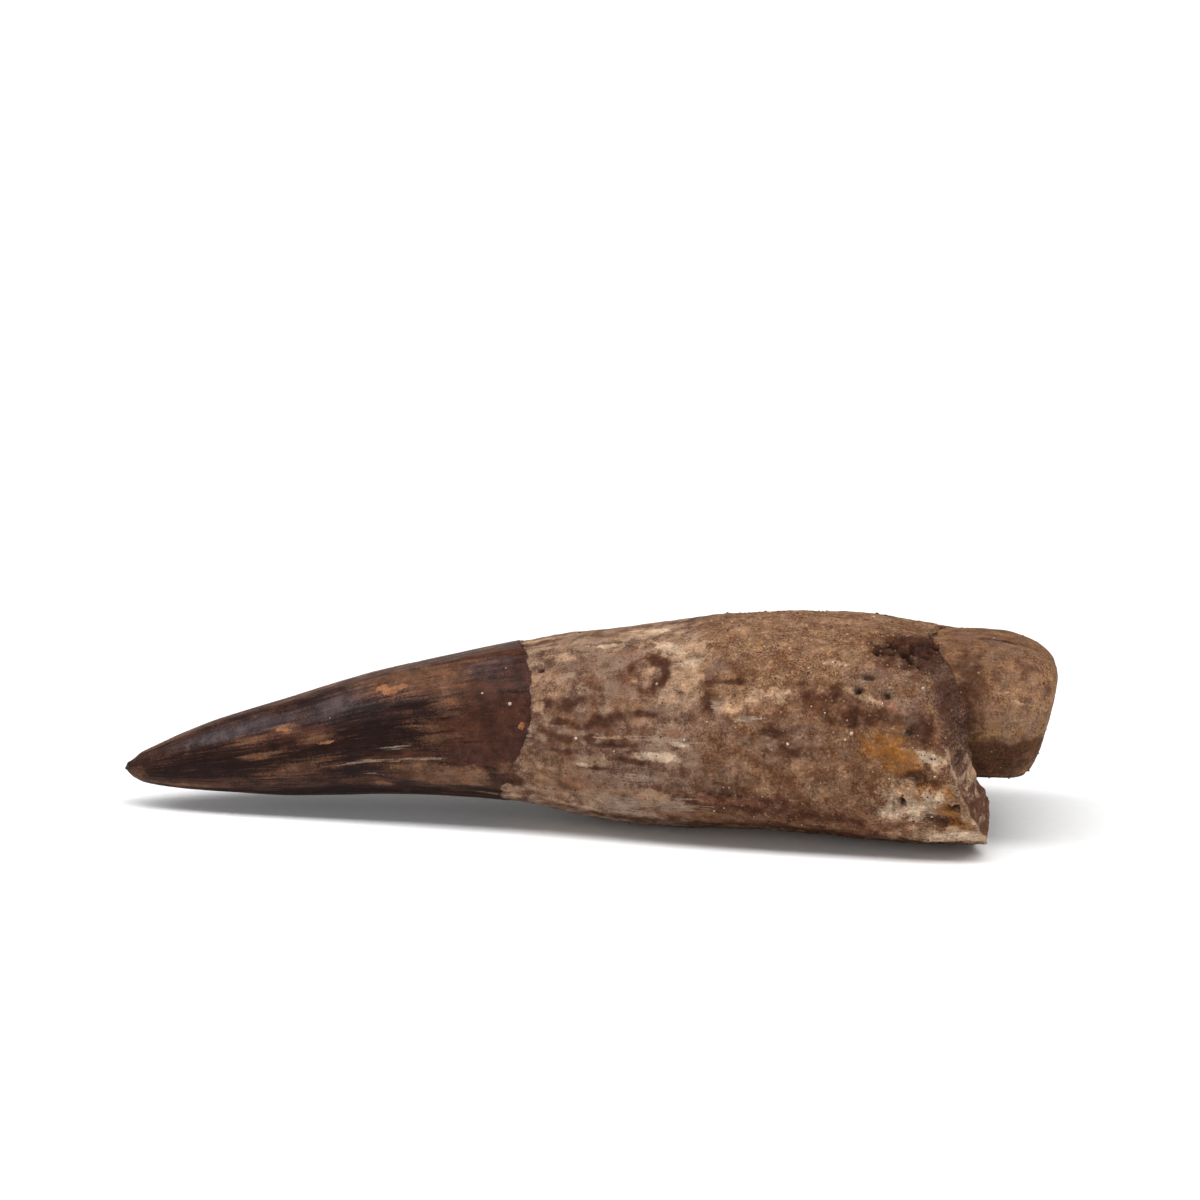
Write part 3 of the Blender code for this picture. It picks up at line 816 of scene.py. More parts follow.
# How each stain is painted, in order: its attribute and colour, how far its colour
# varies and with which noise, the noise that frays its edge, how much, how soft the
# edge is and how much of what lies under it is covered.
Stain = namedtuple("Stain", "name vary tone fray amount soft cover")
STAINS = (
    Stain("brown", 0.25, "mottle_c", "mottle_a", 0.42, 1.80, 0.82),
    Stain("umber", 0.28, "mottle_b", "streak_a", 0.55, 0.90, 0.90),
    Stain("bay", 0.34, "mottle_c", "streak_b", 0.60, 1.30, 0.80),
    Stain("soot", 0.30, "thread_a", "streak_b", 0.75, 0.80, 0.92),
    # Slate is partly a painted highlight on the upper crown.
    Stain("slate", 0.30, "mottle_b", "streak_c", 0.55, 1.50, 0.80),
    Stain("dun", 0.22, "mottle_c", "mottle_b", 0.60, 1.30, 0.75),
    Stain("tan", 0.28, "mottle_b", "mottle_c", 0.60, 1.20, 0.80),
    Stain("rust", 0.26, "mottle_b", "streak_c", 0.45, 1.30, 0.82),
    Stain("dark", 0.28, "mottle_b", "mottle_a", 0.48, 1.20, 0.84),
    Stain("red", 0.25, "mottle_c", "mottle_b", 0.60, 1.10, 0.70),
    Stain("grey", 0.24, "mottle_a", "thread_b", 0.75, 1.00, 0.72),
    Stain("cream", 0.24, "mottle_b", "mottle_c", 0.65, 1.00, 0.82),
    Stain("amber", 0.22, "mottle_c", "mottle_a", 0.30, 1.30, 0.92),
    Stain("orange", 0.22, "mottle_c", "mottle_b", 0.40, 0.50, 0.95),
    Stain("white", 0.22, "mottle_b", "mottle_a", 0.30, 0.90, 0.88),
)

# ---- Stage ------------------------------------------------------------------------------

FLOOR_SIDES = 96
FLOOR_GAP = 0.01                # the floor lies this far under the tooth, in millimetres
GLOW_START = 110.0              # it is lit from below from here outwards, in millimetres
GLOW_END = 340.0                # and fully from here
GLOW = 0.8

# Lights and camera: places and widths in metres, angles in degrees.
OVERHEAD_PLACE = (0.0, -0.18, 0.6)
OVERHEAD_LENGTH = 2.0
OVERHEAD_DEPTH = 0.2
HORIZON_TOP = 8.0               # the backdrop is white up to this angle above the floor
SKY_BOTTOM = 24.0               # and the even light reaches down to this one
FRONT_PLACE = (-0.25, -0.75, 0.5)
FRONT_WIDTH = 0.5

CAMERA_AZIMUTH = 6.3
CAMERA_ELEVATION = 15.0
CAMERA_DISTANCE = 0.298
CAMERA_LENS = 100.0             # in millimetres, as the sensor
CAMERA_SENSOR = 36.0
CAMERA_AIM = (0.0015, 0.0, 0.0206)
NEAREST_SEEN = 0.01


def linear(code):
    """A hex sRGB colour as linear red, green, blue and alpha."""
    shares = [int(code[place:place + 2], 16) / 255 for place in (0, 2, 4)]
    return tuple(
        share / 12.92 if share <= 0.04045 else ((share + 0.055) / 1.055) ** 2.4
        for share in shares
    ) + (1.0,)


def colour(name, description, code):
    """A colour property with a hex default."""
    return FloatVectorProperty(
        name=name,
        description=description,
        default=linear(code),
        min=0,
        max=1,
        size=4,
        subtype="COLOR",
    )


def light_strength(name, description, default, **settings):
    """A property for how strong a light is."""
    return FloatProperty(name=name, description=description, default=default, min=0, **settings)


def length(name, description, millimetres, most):
    """A length property, given in millimetres and kept in metres."""
    return FloatProperty(
        name=name,
        description=description,
        default=millimetres * MM,
        min=0,
        max=most * MM,
        precision=5,
        subtype="DISTANCE",
        unit="LENGTH",
    )


class ToothRelief(bpy.types.PropertyGroup):
    """Heights of the fine relief."""

    flute: length("Flutes", "Depth of the long flutes in the crown's enamel", 0.05, 0.3)
    enamel_step: length("Enamel step", "How far the enamel stands above the neck", 0.13, 0.4)
    neck: length("Neck", "Unevenness of the worn neck", 0.10, 0.4)
    root: length("Root", "Unevenness of the root", 0.13, 0.5)
    fracture: length("Fracture", "Unevenness of the broken face", 0.30, 0.8)
    core: length("Core", "Unevenness of the core", 0.12, 0.5)


class SandSettings(bpy.types.PropertyGroup):
    """Sand grains that stick to the root."""

    grains: IntProperty(
        name="Grains",
        description="Number of sand grains",
        default=1900,
        min=0,
        max=6000,
    )
    grain: length("Grain", "Typical width of a fine to medium sand grain", 0.22, 1.0)


class ToothColours(bpy.types.PropertyGroup):
    """Colours of the finishes and the stains."""

    crown_deep: colour("Crown, deep", "Darkest enamel", "1d0e0b")
    crown: colour("Crown", "Enamel", "2a1712")
    crown_pale: colour("Crown, pale", "Palest streaks in the enamel", "3e2820")
    neck_deep: colour("Neck, deep", "Darkest mottling of the neck", "553c30")
    neck: colour("Neck", "Worn neck", "6f5545")
    neck_pale: colour("Neck, pale", "Palest mottling of the neck", "87705d")
    root_deep: colour("Root, deep", "Darkest mottling of the root", "593a2a")
    root: colour("Root", "Root", "6c4f3a")
    root_pale: colour("Root, pale", "Palest mottling of the root", "826549")
    face_deep: colour("Fracture, deep", "Darkest part of the fracture face", "33211a")
    face: colour("Fracture", "Fracture face", "4a332a")
    face_pale: colour("Fracture, pale", "Palest fibres of the fracture face", "5f4738")
    core_deep: colour("Core, deep", "Darkest mottling of the core", "573b2b")
    core: colour("Core", "Core", "704f38")
    core_pale: colour("Core, pale", "Palest mottling of the core", "886848")
    umber: colour("Umber", "Brown enamel near the neck", "3c231a")
    # Soot also carries painted shade along the lower side of the crown.
    soot: colour("Soot", "Near-black enamel", "1a0d0a")
    # Slate is partly a grey bloom and partly a painted highlight on the upper crown.
    slate: colour("Slate", "Grey bloom on the enamel", "3f3637")
    bay: colour("Bay", "Red-brown patches in the enamel", "482a1d")
    rust: colour("Rust", "Rust-brown enamel", "614331")
    # Brown also carries painted shade on the middle and lower front of the root.
    brown: colour("Brown", "Broad brown stains", "583827")
    tan: colour("Tan", "Tan patches", "7a5c46")
    dun: colour("Dun", "Dusky grey-brown patches", "6a5345")
    # Dark also carries painted shade on the lower root and core, and painted shadow under the ridge and
    # beside the broken wall.
    dark: colour("Dark", "Dark brown stains", "371f16")
    grey: colour("Grey", "Grey-white deposits", "857364")
    cream: colour("Cream", "Cream, rubbed places and crust", "92755c")
    red: colour("Red", "Pink-red stains", "76503f")
    amber: colour("Amber", "Amber iron stain", "7b502a")
    orange: colour("Orange", "Orange chips in the enamel", "83573a")
    white: colour("White", "Whitest deposits", "a79079")


class StageSettings(bpy.types.PropertyGroup):
    """Floor and light."""

    floor: length("Floor", "Radius of the floor", 3000.0, 10000.0)
    sky: light_strength("Sky", "Strength of the even white light from above", 0.3)
    overhead: light_strength("Overhead", "Power of the strip light above", 10.5, unit="POWER")
    front: light_strength("Front", "Power of the softbox in front", 0.5, unit="POWER")


# ---- Curves and noise -----------------------------------------------------------------


def smooth_curve(knots, values, at):
    """Value at each place on a smooth curve through the knots."""
    knots = np.asarray(knots, float)
    values = np.asarray(values, float)
    steps = np.diff(knots)
    slopes = np.diff(values) / steps
    tangents = np.empty_like(values)
    blend = slopes[:-1] * steps[1:] + slopes[1:] * steps[:-1]
    tangents[1:-1] = blend / (steps[:-1] + steps[1:])
    tangents[0] = slopes[0]
    tangents[-1] = slopes[-1]
    span = np.clip(np.searchsorted(knots, at, side="right") - 1, 0, len(knots) - 2)
    width = steps[span]
    t = (at - knots[span]) / width
    near = (2 * t**3 - 3 * t**2 + 1) * values[span] + (t**3 - 2 * t**2 + t) * width * tangents[span]
    far = (3 * t**2 - 2 * t**3) * values[span + 1] + (t**3 - t**2) * width * tangents[span + 1]
    return near + far


def around_curve(table, degrees):
    """Value of an (angle, value) table at each angle, closed on itself."""
    angles = [angle for angle, _ in table]
    values = [value for _, value in table]
    knots = [angles[-2] - 360, angles[-1] - 360] + angles + [angles[0] + 360, angles[1] + 360]
    closed = [values[-2], values[-1]] + values + [values[0], values[1]]
    return smooth_curve(knots, closed, np.mod(degrees, 360.0))


def rise(values, low, high):
    """Eases from 0 at low to 1 at high."""
    share = np.clip((values - low) / (high - low), 0, 1)
    return share * share * (3 - 2 * share)


LATTICE = 256                   # cells before the noise repeats
RIPPLE_GAIN = 1.7               # brings it to about -1 to 1


@functools.lru_cache(maxsize=None)
def lattice(seed):
    """A shuffled order and a set of random directions for the noise."""
    rng = np.random.default_rng(seed)
    order = rng.permutation(LATTICE)
    arrows = rng.normal(size=(LATTICE, 3))
    arrows /= np.linalg.norm(arrows, axis=1, keepdims=True)
    return np.concatenate([order, order]), arrows


def ripple(points, size, seed):
    """Smooth random heights, about -1 to 1, with bumps about size across."""
    order, arrows = lattice(seed)
    points = points / size
    corner = np.floor(points).astype(int)
    inside = points - corner
    ease = inside**3 * (inside * (inside * 6 - 15) + 10)
    total = np.zeros(points.shape[:-1])
    for step in itertools.product((0, 1), repeat=3):
        x, y, z = np.moveaxis((corner + step) % LATTICE, -1, 0)
        arrow = arrows[order[order[order[x] + y] + z]]
        share = np.prod(np.where(step, ease, 1 - ease), axis=-1)
        total += share * np.sum(arrow * (inside - step), axis=-1)
    return total * RIPPLE_GAIN


def ripples(points, layers):
    """Layers of smooth random heights, added up."""
    return sum(weight * ripple(points, size, seed) for weight, size, seed in layers)


def pores(points, size, seed):
    """Distance to the nearest of points scattered one to a cell, in cell widths."""
    order, arrows = lattice(seed)
    points = points / size
    corner = np.floor(points).astype(int)
    nearest = np.full(points.shape[:-1], np.inf)
    for step in itertools.product((-1, 0, 1), repeat=3):
        cell = corner + step
        x, y, z = np.moveaxis(cell % LATTICE, -1, 0)
        middle = cell + 0.5 + PORE_SCATTER * arrows[order[order[order[x] + y] + z]]
        nearest = np.minimum(nearest, np.linalg.norm(points - middle, axis=-1))
    return nearest


# ---- Form ---------------------------------------------------------------------------


def section_radius(degrees, half_width, half_height, squareness):
    """Distance from the centre of a rounded section to its outline."""
    smallest = 1e-6
    across = np.abs(np.cos(np.radians(degrees))) / np.maximum(half_width, smallest)
    upright = np.abs(np.sin(np.radians(degrees))) / np.maximum(half_height, smallest)
    return (across**squareness + upright**squareness) ** (-1.0 / squareness)


def wall_section(along):
    """Underside, top, half width and squareness at each distance from the tip."""
    places, undersides, tops, widths, squares = zip(*SECTIONS)
    # The square root gives the tip its round nose.
    knots = np.sqrt(np.array(places) / LENGTH)
    at = np.sqrt(along / LENGTH)
    curves = [smooth_curve(knots, values, at) for values in (undersides, tops, widths, squares)]
    return curves[0], curves[1], curves[2] / 2, curves[3]


def lower_wear(along, degrees):
    """How deep the wear along the lower front goes."""
    ahead = (along - WEAR_ALONG) / WEAR_HALF_LENGTH
    turned = (np.mod(degrees - WEAR_ANGLE + 180, 360) - 180) / WEAR_HALF_ANGLE
    share = np.cos(np.pi / 2 * np.clip(ahead, -1, 1)) * np.cos(np.pi / 2 * np.clip(turned, -1, 1))
    return WEAR_DEPTH * share**2


def wall_point(along, degrees):
    """Points of the tooth's outer surface."""
    underside, top, half_width, squareness = wall_section(along)
    radius = section_radius(degrees, half_width, (top - underside) / 2, squareness)
    radius = radius - lower_wear(along, degrees)
    share = along / LENGTH
    side = AXIS_BOW * 4 * share * (1 - share) + SIDE_SHIFT
    y = side - radius * np.cos(np.radians(degrees))
    z = (top + underside) / 2 + radius * np.sin(np.radians(degrees))
    return np.stack([along - ORIGIN_ALONG, y, z], axis=-1)


def broken_edge(degrees):
    """Distance from the tip to the broken edge of the wall, at each angle."""
    wander = []
    for angle in np.radians(degrees):
        on_circle = Vector((math.cos(angle), math.sin(angle), 0.0))
        coarse = noise.noise(on_circle * BREAK_COARSE + Vector(BREAK_COARSE_START))
        fine = noise.noise(on_circle * BREAK_FINE + Vector(BREAK_FINE_START))
        wander.append(coarse + BREAK_FINE_SHARE * fine)
    return around_curve(BREAK_EDGE, degrees) + BREAK_WANDER * np.array(wander)


def core_end(height):
    """Distance from the tip to the end of the core, at each height."""
    return LENGTH - CORE_END_SLANT * np.clip(CORE_END_SLANT_TOP - height, 0, None)


def core_point(start, forward, degrees):
    """Points of the core; forward runs from 0 at its start to 1 at its end."""
    rounding = around_curve(CORE_END_ROUNDING, degrees)
    out = (1 - forward**rounding) ** (1 / rounding)
    radius = section_radius(degrees - CORE_TILT, CORE_HALF_WIDTH, CORE_HALF_HEIGHT, CORE_SQUARENESS)
    y = CORE_SIDE + SIDE_SHIFT - out * radius * np.cos(np.radians(degrees))
    z = CORE_HEIGHT + out * radius * np.sin(np.radians(degrees))
    along = start + (core_end(z) - start) * forward
    return np.stack([along - ORIGIN_ALONG, y, z], axis=-1)


def core_steps():
    """How far forward each row of the core is: even on its side, closer on its end."""
    steps = [CORE_SIDE_SHARE * row / CORE_ROWS for row in range(1, CORE_ROWS + 1)]
    turned = math.asin(CORE_SIDE_SHARE)
    for row in range(1, END_ROWS):
        steps.append(math.sin(turned + (math.pi / 2 - turned) * row / END_ROWS))
    return steps


class Surface:
    """The tooth's skin as rows and columns of points, in millimetres."""

    def __init__(self):
        self.degrees = np.arange(AROUND) * 360.0 / AROUND
        angle = np.radians(self.degrees)
        circle = EDGE_CIRCLE * np.stack([np.cos(angle), np.sin(angle), 0 * angle], axis=-1)
        self.edge = broken_edge(self.degrees) + ripples(circle, EDGE_WANDER)
        run = around_curve(RIM_RUN, self.degrees) + ripples(circle, RIM_WANDER)
        rim = self.edge + np.maximum(run, RIM_RUN_LEAST)
        start = rim - around_curve(GROOVE_DEPTH, self.degrees)
        rows = []
        parts = []
        for row in range(1, WALL_ROWS + 1):
            rows.append(wall_point(self.edge * (row / WALL_ROWS) ** TIP_CROWDING, self.degrees))
            parts.append(WALL)
        outer = rows[-1]
        inner = core_point(start, 0.0, self.degrees)
        crest = outer + (inner - outer) * RIM_SHARE
        crest[:, 0] = rim - ORIGIN_ALONG
        for row in range(1, FACE_ROWS + 1):
            rows.append(outer + (crest - outer) * row / FACE_ROWS)
            parts.append(FACE)
        for row in range(1, GROOVE_ROWS + 1):
            rows.append(crest + (inner - crest) * row / GROOVE_ROWS)
            parts.append(GROOVE)
        for forward in core_steps():
            rows.append(core_point(start, forward, self.degrees))
            parts.append(CORE)
        self.points = np.array(rows)
        self.part = np.broadcast_to(np.array(parts)[:, None], self.points.shape[:2])
        # Relief on the broken face is as low as the face is narrow.
        width = np.linalg.norm((outer - inner)[:, 1:], axis=1)
        self.room = np.clip(width / ROOM_WIDTH - ROOM_OFFSET, ROOM_LEAST, 1.0)
        self.tip = wall_point(np.zeros(1), np.zeros(1))[0]
        self.end = core_point(np.zeros(1), 1.0, np.zeros(1))[0]
        self.swell()
        self.along = self.points[..., 0] + ORIGIN_ALONG
        # Streaks are drawn in these coordinates, so that they run along the tooth.
        girth = np.stack([-FLOW_GIRTH * np.cos(angle), FLOW_GIRTH * np.sin(angle)], axis=-1)
        self.flow = np.empty(self.points.shape)
        self.flow[..., 0] = self.along
        self.flow[..., 1:] = girth
        self.place = self.points.copy()
        self.warp_forward = ripples(self.place, WARP_FORWARD)
        self.warp_upward = ripples(self.place, WARP_UPWARD)
        crown = self.crown_distance()
        self.enamel = rise(crown, 0.0, STAIN_STOP_RUN)
        self.bare = rise(-crown, 0.0, STAIN_STOP_RUN)

    def normals(self):
        """Outward directions of the grid."""
        forward = np.gradient(self.points, axis=0)
        around = np.roll(self.points, -1, axis=1) - np.roll(self.points, 1, axis=1)
        out = np.cross(forward, around)
        smallest = 1e-9
        return out / np.maximum(np.linalg.norm(out, axis=-1, keepdims=True), smallest)

    def swell(self):
        """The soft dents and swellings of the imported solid."""
        flat = self.points.reshape(-1, 3) / SWELL_SIZE
        heights = np.array([noise.noise(point) for point in flat]).reshape(self.points.shape[:2])
        self.shift(SWELL_HEIGHT * heights)

    def shift(self, height):
        """Moves the skin outwards; a narrow face follows the wall and the core beside it."""
        move = self.normals() * height[..., None]
        across = np.flatnonzero((self.part[:, 0] == FACE) | (self.part[:, 0] == GROOVE))
        beyond = 3
        first, last = across[0], across[-1] + beyond
        share = np.linspace(0, 1, last - first + 1)[:, None, None]
        beside = move[first - 1] * (1 - share) + move[last] * share
        wide = rise(self.room, NARROW, WIDE)[:, None]
        move[first : last + 1] = beside + (move[first : last + 1] - beside) * wide
        self.points = self.points + move

    def offset(self, along, degrees, bend, part=WALL):
        """How far forward and how far around each point is from a place, warped."""
        girth = (CORE_HALF_WIDTH + CORE_HALF_HEIGHT) / 2
        if part != CORE:
            underside, top, half_width, _ = wall_section(np.array([min(along, LENGTH - 1)]))
            girth = ((top - underside) / 2 + half_width)[0] / 2
        turn = (self.degrees - degrees + 180) % 360 - 180
        forward = self.along - along + bend * self.warp_forward
        return forward, np.radians(turn) * girth + bend * self.warp_upward

    def patch(self, mark, part=WALL):
        """Strength at the middle of a mark, 0 on its outline and less outside it."""
        along, degrees, half_length, half_width, tilt, strength = mark
        # The warp bends small marks less than large ones.
        bend = min(1.0, WARP_LEAST + WARP_GAIN * half_width)
        forward, upward = self.offset(along, degrees, bend, part)
        lean = math.radians(tilt)
        lengthwise = (forward * math.cos(lean) + upward * math.sin(lean)) / half_length
        crosswise = (upward * math.cos(lean) - forward * math.sin(lean)) / half_width
        inside = 1 - np.hypot(lengthwise, crosswise)
        # A faint mark fades out as fast as a strong one.
        return inside * np.where(inside > 0, strength, max(strength, 1.0))

    def field(self, wall=(), core=(), face=()):
        """The strongest mark at each point."""
        total = np.full(self.along.shape, NO_STAIN)
        for marks, where, part in (
            (wall, self.part == WALL, WALL),
            (core, self.part == CORE, CORE),
            (face, (self.part == FACE) | (self.part == GROOVE), FACE),
        ):
            for mark in marks:
                # Small marks fray less than large ones.
                firmness = min(max(STAIN_WIDTH / mark[3], 1.0), FIRMEST)
                strength = firmness * self.patch(mark, part)
                if part == WALL:
                    # A stain stops at the enamel's edge.
                    on_crown = mark[0] < around_curve(CROWN_EDGE, mark[1])
                    strength = strength - STAIN_STOP * (self.bare if on_crown else self.enamel)
                total = np.where(where, np.maximum(total, strength), total)
        return total

    def crown_distance(self):
        """How far inside the crown each point is; less than 0 outside it."""
        wander = ripples(self.place, CROWN_WANDER)
        return around_curve(CROWN_EDGE, self.degrees) + wander - self.along

    def root_distance(self):
        """How far past the neck each point is; less than 0 before it."""
        wander = ripples(self.place, ROOT_WANDER)
        return self.along - around_curve(ROOT_EDGE, self.degrees) + wander

    def knot(self):
        """Distance from the middle of the knot and direction around it."""
        forward, upward = self.offset(KNOT_ALONG, KNOT_DEGREES, KNOT_WARP)
        return np.hypot(forward, upward), np.arctan2(upward, forward)


def crown_relief(surface, sizes, in_crown):
    """Flutes and waves of the enamel, and the step down to the neck beside it."""
    angle = np.radians(surface.degrees) + ripples(surface.place, FLUTE_WANDER)
    flutes = 0.5 - 0.5 * np.cos(FLUTES * angle)
    # Flutes fade towards the tip.
    height = -sizes.flute / MM * flutes * rise(surface.along, FLUTE_START, FLUTE_FULL) * in_crown
    height += ripples(surface.flow * ENAMEL_STRETCH, ENAMEL_WAVES) * in_crown
    # The neck lies lower just past the enamel's edge, which has chipped.
    fade = rise(-surface.crown_distance(), ENAMEL_STEP_RUN, 0.0)
    return height - sizes.enamel_step / MM * (1 - in_crown) * fade * (surface.part == WALL)


def root_relief(surface, sizes, in_root, in_neck):
    """The uneven neck and root, with the root's small pits."""
    neck = ripples(surface.flow * NECK_STRETCH, NECK_STREAKS) + ripples(surface.place, NECK_BUMPS)
    height = sizes.neck / MM * (neck - NECK_LEVEL) * in_neck
    height += sizes.root / MM * (ripples(surface.place, ROOT_BUMPS) - ROOT_LEVEL) * in_root
    pit = rise(pores(surface.place, PIT_SPACING, PIT_SEED), *PIT_SLOPE)
    pit = pit * rise(ripples(surface.place, PIT_CLUSTERS), *PIT_GROUPS)
    return height - PIT_DEPTH * pit * in_root


def spongy_relief(surface):
    """Pores of the spongy bone beside the break."""
    wall = surface.part == WALL
    near = rise(surface.patch(POROUS_MARK), *POROUS_FADE) * (surface.part < CORE)
    far = rise(surface.patch(FAR_POROUS_MARK), *POROUS_FADE) * wall
    holes = rise(pores(surface.place, POROUS_SIZE, POROUS_SEED), *POROUS_SLOPE)
    from_edge = rise(surface.edge - surface.along, 0.0, POROUS_EDGE)
    near_edge = surface.room + (1 - surface.room) * from_edge
    return -POROUS_DEPTH * holes * np.maximum(near, far) * near_edge


def core_relief(surface, sizes):
    """The uneven core, with thin layers low down."""
    place = surface.place
    up = place[..., 2]
    rough = ripples(place, CORE_BUMPS) + ripples(place * CORE_STRETCH, CORE_STREAKS)
    bed = up * BEDS + ripples(place, BED_WAVES)
    layer = rise(np.abs(bed - np.round(bed)), *BED_SLOPE) * rise(up, BED_TOP, BED_FULL)
    # The layers fade out at the core's end.
    layer = layer * rise(surface.along, LENGTH + BED_END_RUN, LENGTH - BED_END_RUN)
    height = sizes.core / MM * (rough - CORE_LEVEL) - BED_DEPTH * layer
    return height * (surface.part == CORE)


def single_marks(surface):
    """The knot's ring, the dents, the lumps and the chipped tip, all on the wall."""
    distance, direction = surface.knot()
    ring = rise(np.abs(distance - KNOT_RING), KNOT_RING_WIDTH, 0.0)
    height = -KNOT_RING_DEPTH * ring * (KNOT_RING_EVEN + KNOT_RING_UNEVEN * np.cos(direction))
    for mark in DENTS + far_side(DENTS, FAR_DENTS):
        height += mark[5] * rise(surface.patch(mark[:5] + (1.0,)), 0.0, DENT_SLOPE)
    knobbly = LUMP_BASE + ripples(surface.place, LUMP_KNOBS)
    for mark in LUMPS + far_side(LUMPS[1:], FAR_LUMPS):
        height += mark[5] * knobbly * rise(surface.patch(mark[:5] + (1.0,)), 0.0, LUMP_SLOPE)
    chips = rise(ripples(surface.place, TIP_CHIPS), *TIP_CHIP_GROUPS)
    height -= TIP_CHIP_DEPTH * rise(surface.along, TIP_CHIP_RUN, TIP_CHIP_FULL) * chips
    return height * (surface.part == WALL)


def relief(surface, sizes):
    """Height of the fine relief at each point, mostly inwards."""
    wall = surface.part == WALL
    on_face = (surface.part == FACE) | (surface.part == GROOVE)
    in_crown = rise(surface.crown_distance(), -ENAMEL_EDGE, ENAMEL_EDGE) * wall
    in_root = rise(surface.root_distance(), -ROOT_EDGE_RUN, ROOT_EDGE_RUN) * wall
    in_neck = (1 - in_crown) * (1 - in_root) * wall
    height = crown_relief(surface, sizes, in_crown)
    height += root_relief(surface, sizes, in_root, in_neck)
    height += spongy_relief(surface)
    broken = ripples(surface.place, FRACTURE_BUMPS) - FRACTURE_LEVEL
    height += sizes.fracture / MM * broken * on_face * surface.room
    height += core_relief(surface, sizes)
    return height + single_marks(surface)


def far_side(marks, seed):
    """Marks for the side that faces +Y, like the given ones but moved at random."""
    rng = np.random.default_rng(FAR_SEED + seed)
    partners = []
    for along, degrees, half_length, half_width, tilt, strength in marks:
        turn, shift = rng.uniform(-1, 1, 2)
        grow, widen = rng.uniform(*FAR_GROWTH, 2)
        partners.append(
            (
                along + FAR_ALONG_SPREAD * shift,
                FAR_TURN - degrees + FAR_ANGLE_SPREAD * turn,
                half_length * grow,
                half_width * widen,
                -tilt,
                strength,
            )
        )
    return tuple(partners)


def sandiness(surface):
    """How much sand sticks at each point: most on the root, none on clean enamel."""
    crown = rise(surface.crown_distance(), -ENAMEL_EDGE, ENAMEL_EDGE)
    root = rise(surface.root_distance(), *SAND_ROOT_RUN)
    on_wall = (1 - crown) * (NECK_SAND + (1 - NECK_SAND) * root) + CROWN_SAND * crown
    on_break = np.where(surface.part == CORE, CORE_SAND, FACE_SAND)
    return np.where(surface.part == WALL, on_wall, on_break)


def stain_fields(surface, height):
    """What each stain's attribute holds at every point."""
    fields = {}
    for seed, (name, marks) in enumerate(WALL_MARKS.items()):
        fields[name] = surface.field(
            wall=marks + far_side(marks, FAR_STAINS + seed),
            core=CORE_MARKS.get(name, ()),
            face=FACE_MARKS.get(name, ()),
        )
    wall = surface.part == WALL
    distance, direction = surface.knot()
    ring = 1 - np.abs(distance - KNOT_RING) / KNOT_RING_WIDTH
    for name, most, fade in RING_STAINS:
        mark = most * ring - fade * (1 - np.cos(direction - RING_TURN)) / 2
        fields[name] = np.where(wall, np.maximum(fields[name], mark), fields[name])
    for name in RING_CLEARED:
        fields[name] = fields[name] - np.where(wall, RING_CLEARING * np.maximum(ring, 0.0), 0.0)
    for name, most in BOSS_STAINS:
        boss = most - distance / KNOT_BOSS
        fields[name] = np.where(wall, np.maximum(fields[name], boss), fields[name])
    # The deepest dents are darkened, and edges that stand up are rubbed.
    wide = rise(surface.room, NARROW, WIDE)
    deep = rise(height, DENT_DARK_TOP, DENT_DARK_BOTTOM)
    fields["dirt"] = DENT_DARK_SHARE * deep * np.where(wall, 1.0, wide)
    to_edge = np.where(wall, surface.edge - surface.along, 0.0)
    rubbed = np.where(surface.part <= FACE, 1 - to_edge / RUBBED_RUN, 0.0).clip(0, 1)
    rubbed *= np.where(surface.part == FACE, RUBBED_FACE, 1.0)
    # Only the lower part of the edge is rubbed pale.
    below = rise(np.cos(np.radians(surface.degrees - RUBBED_ANGLE)), *RUBBED_SPREAD)
    fields["rubbed"] = rubbed * (RUBBED_LEAST + (1 - RUBBED_LEAST) * below)
    fields["crown"] = np.where(wall, surface.crown_distance(), -LENGTH)
    fields["root"] = np.where(wall, surface.root_distance(), LENGTH)
    # The broken face's colour starts on the wall beside its edge, except at the lip below.
    into = np.cumsum(surface.part == FACE, axis=0) / FACE_ROWS
    above = rise(np.cos(np.radians(surface.degrees - FACE_RUN_ANGLE)), *FACE_RUN_SPREAD)
    on_wall = FACE_AT_EDGE * rise(to_edge, FACE_RUN, 0.0) * above
    on_face = FACE_AT_EDGE + (1 - FACE_AT_EDGE) * rise(into, 0.0, FACE_WHOLE)
    parts = (wall, surface.part == FACE, surface.part == GROOVE)
    fields["face"] = np.select(parts, (on_wall, on_face, 1.0)) * rise(surface.room, *FACE_ROOM)
    fields["core"] = (surface.part == CORE).astype(float)
    fields["sandy"] = sandiness(surface)
    return fields


# ---- Meshes ---------------------------------------------------------------------------


def inside_box(points):
    """Keeps points, in millimetres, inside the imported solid's box."""
    low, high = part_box(NODE)
    return np.clip(points, np.array(low) / MM, np.array(high) / MM)


def skin_faces(rows):
    """Corner numbers of the skin's faces: a fan at each end and rows of quads."""
    first = 1 + np.arange(rows)[:, None] * AROUND
    side = np.arange(AROUND)
    after = (side + 1) % AROUND
    near, far = first[:-1], first[1:]
    quads = np.stack([near + side, far + side, far + after, near + after], axis=-1).reshape(-1, 4)
    tip, end = 0, 1 + rows * AROUND
    last = first[-1, 0]
    fans = [(tip, 1 + a, 1 + b) for a, b in zip(side, after)]
    fans += [(end, last + b, last + a) for a, b in zip(side, after)]
    return fans + quads.tolist()


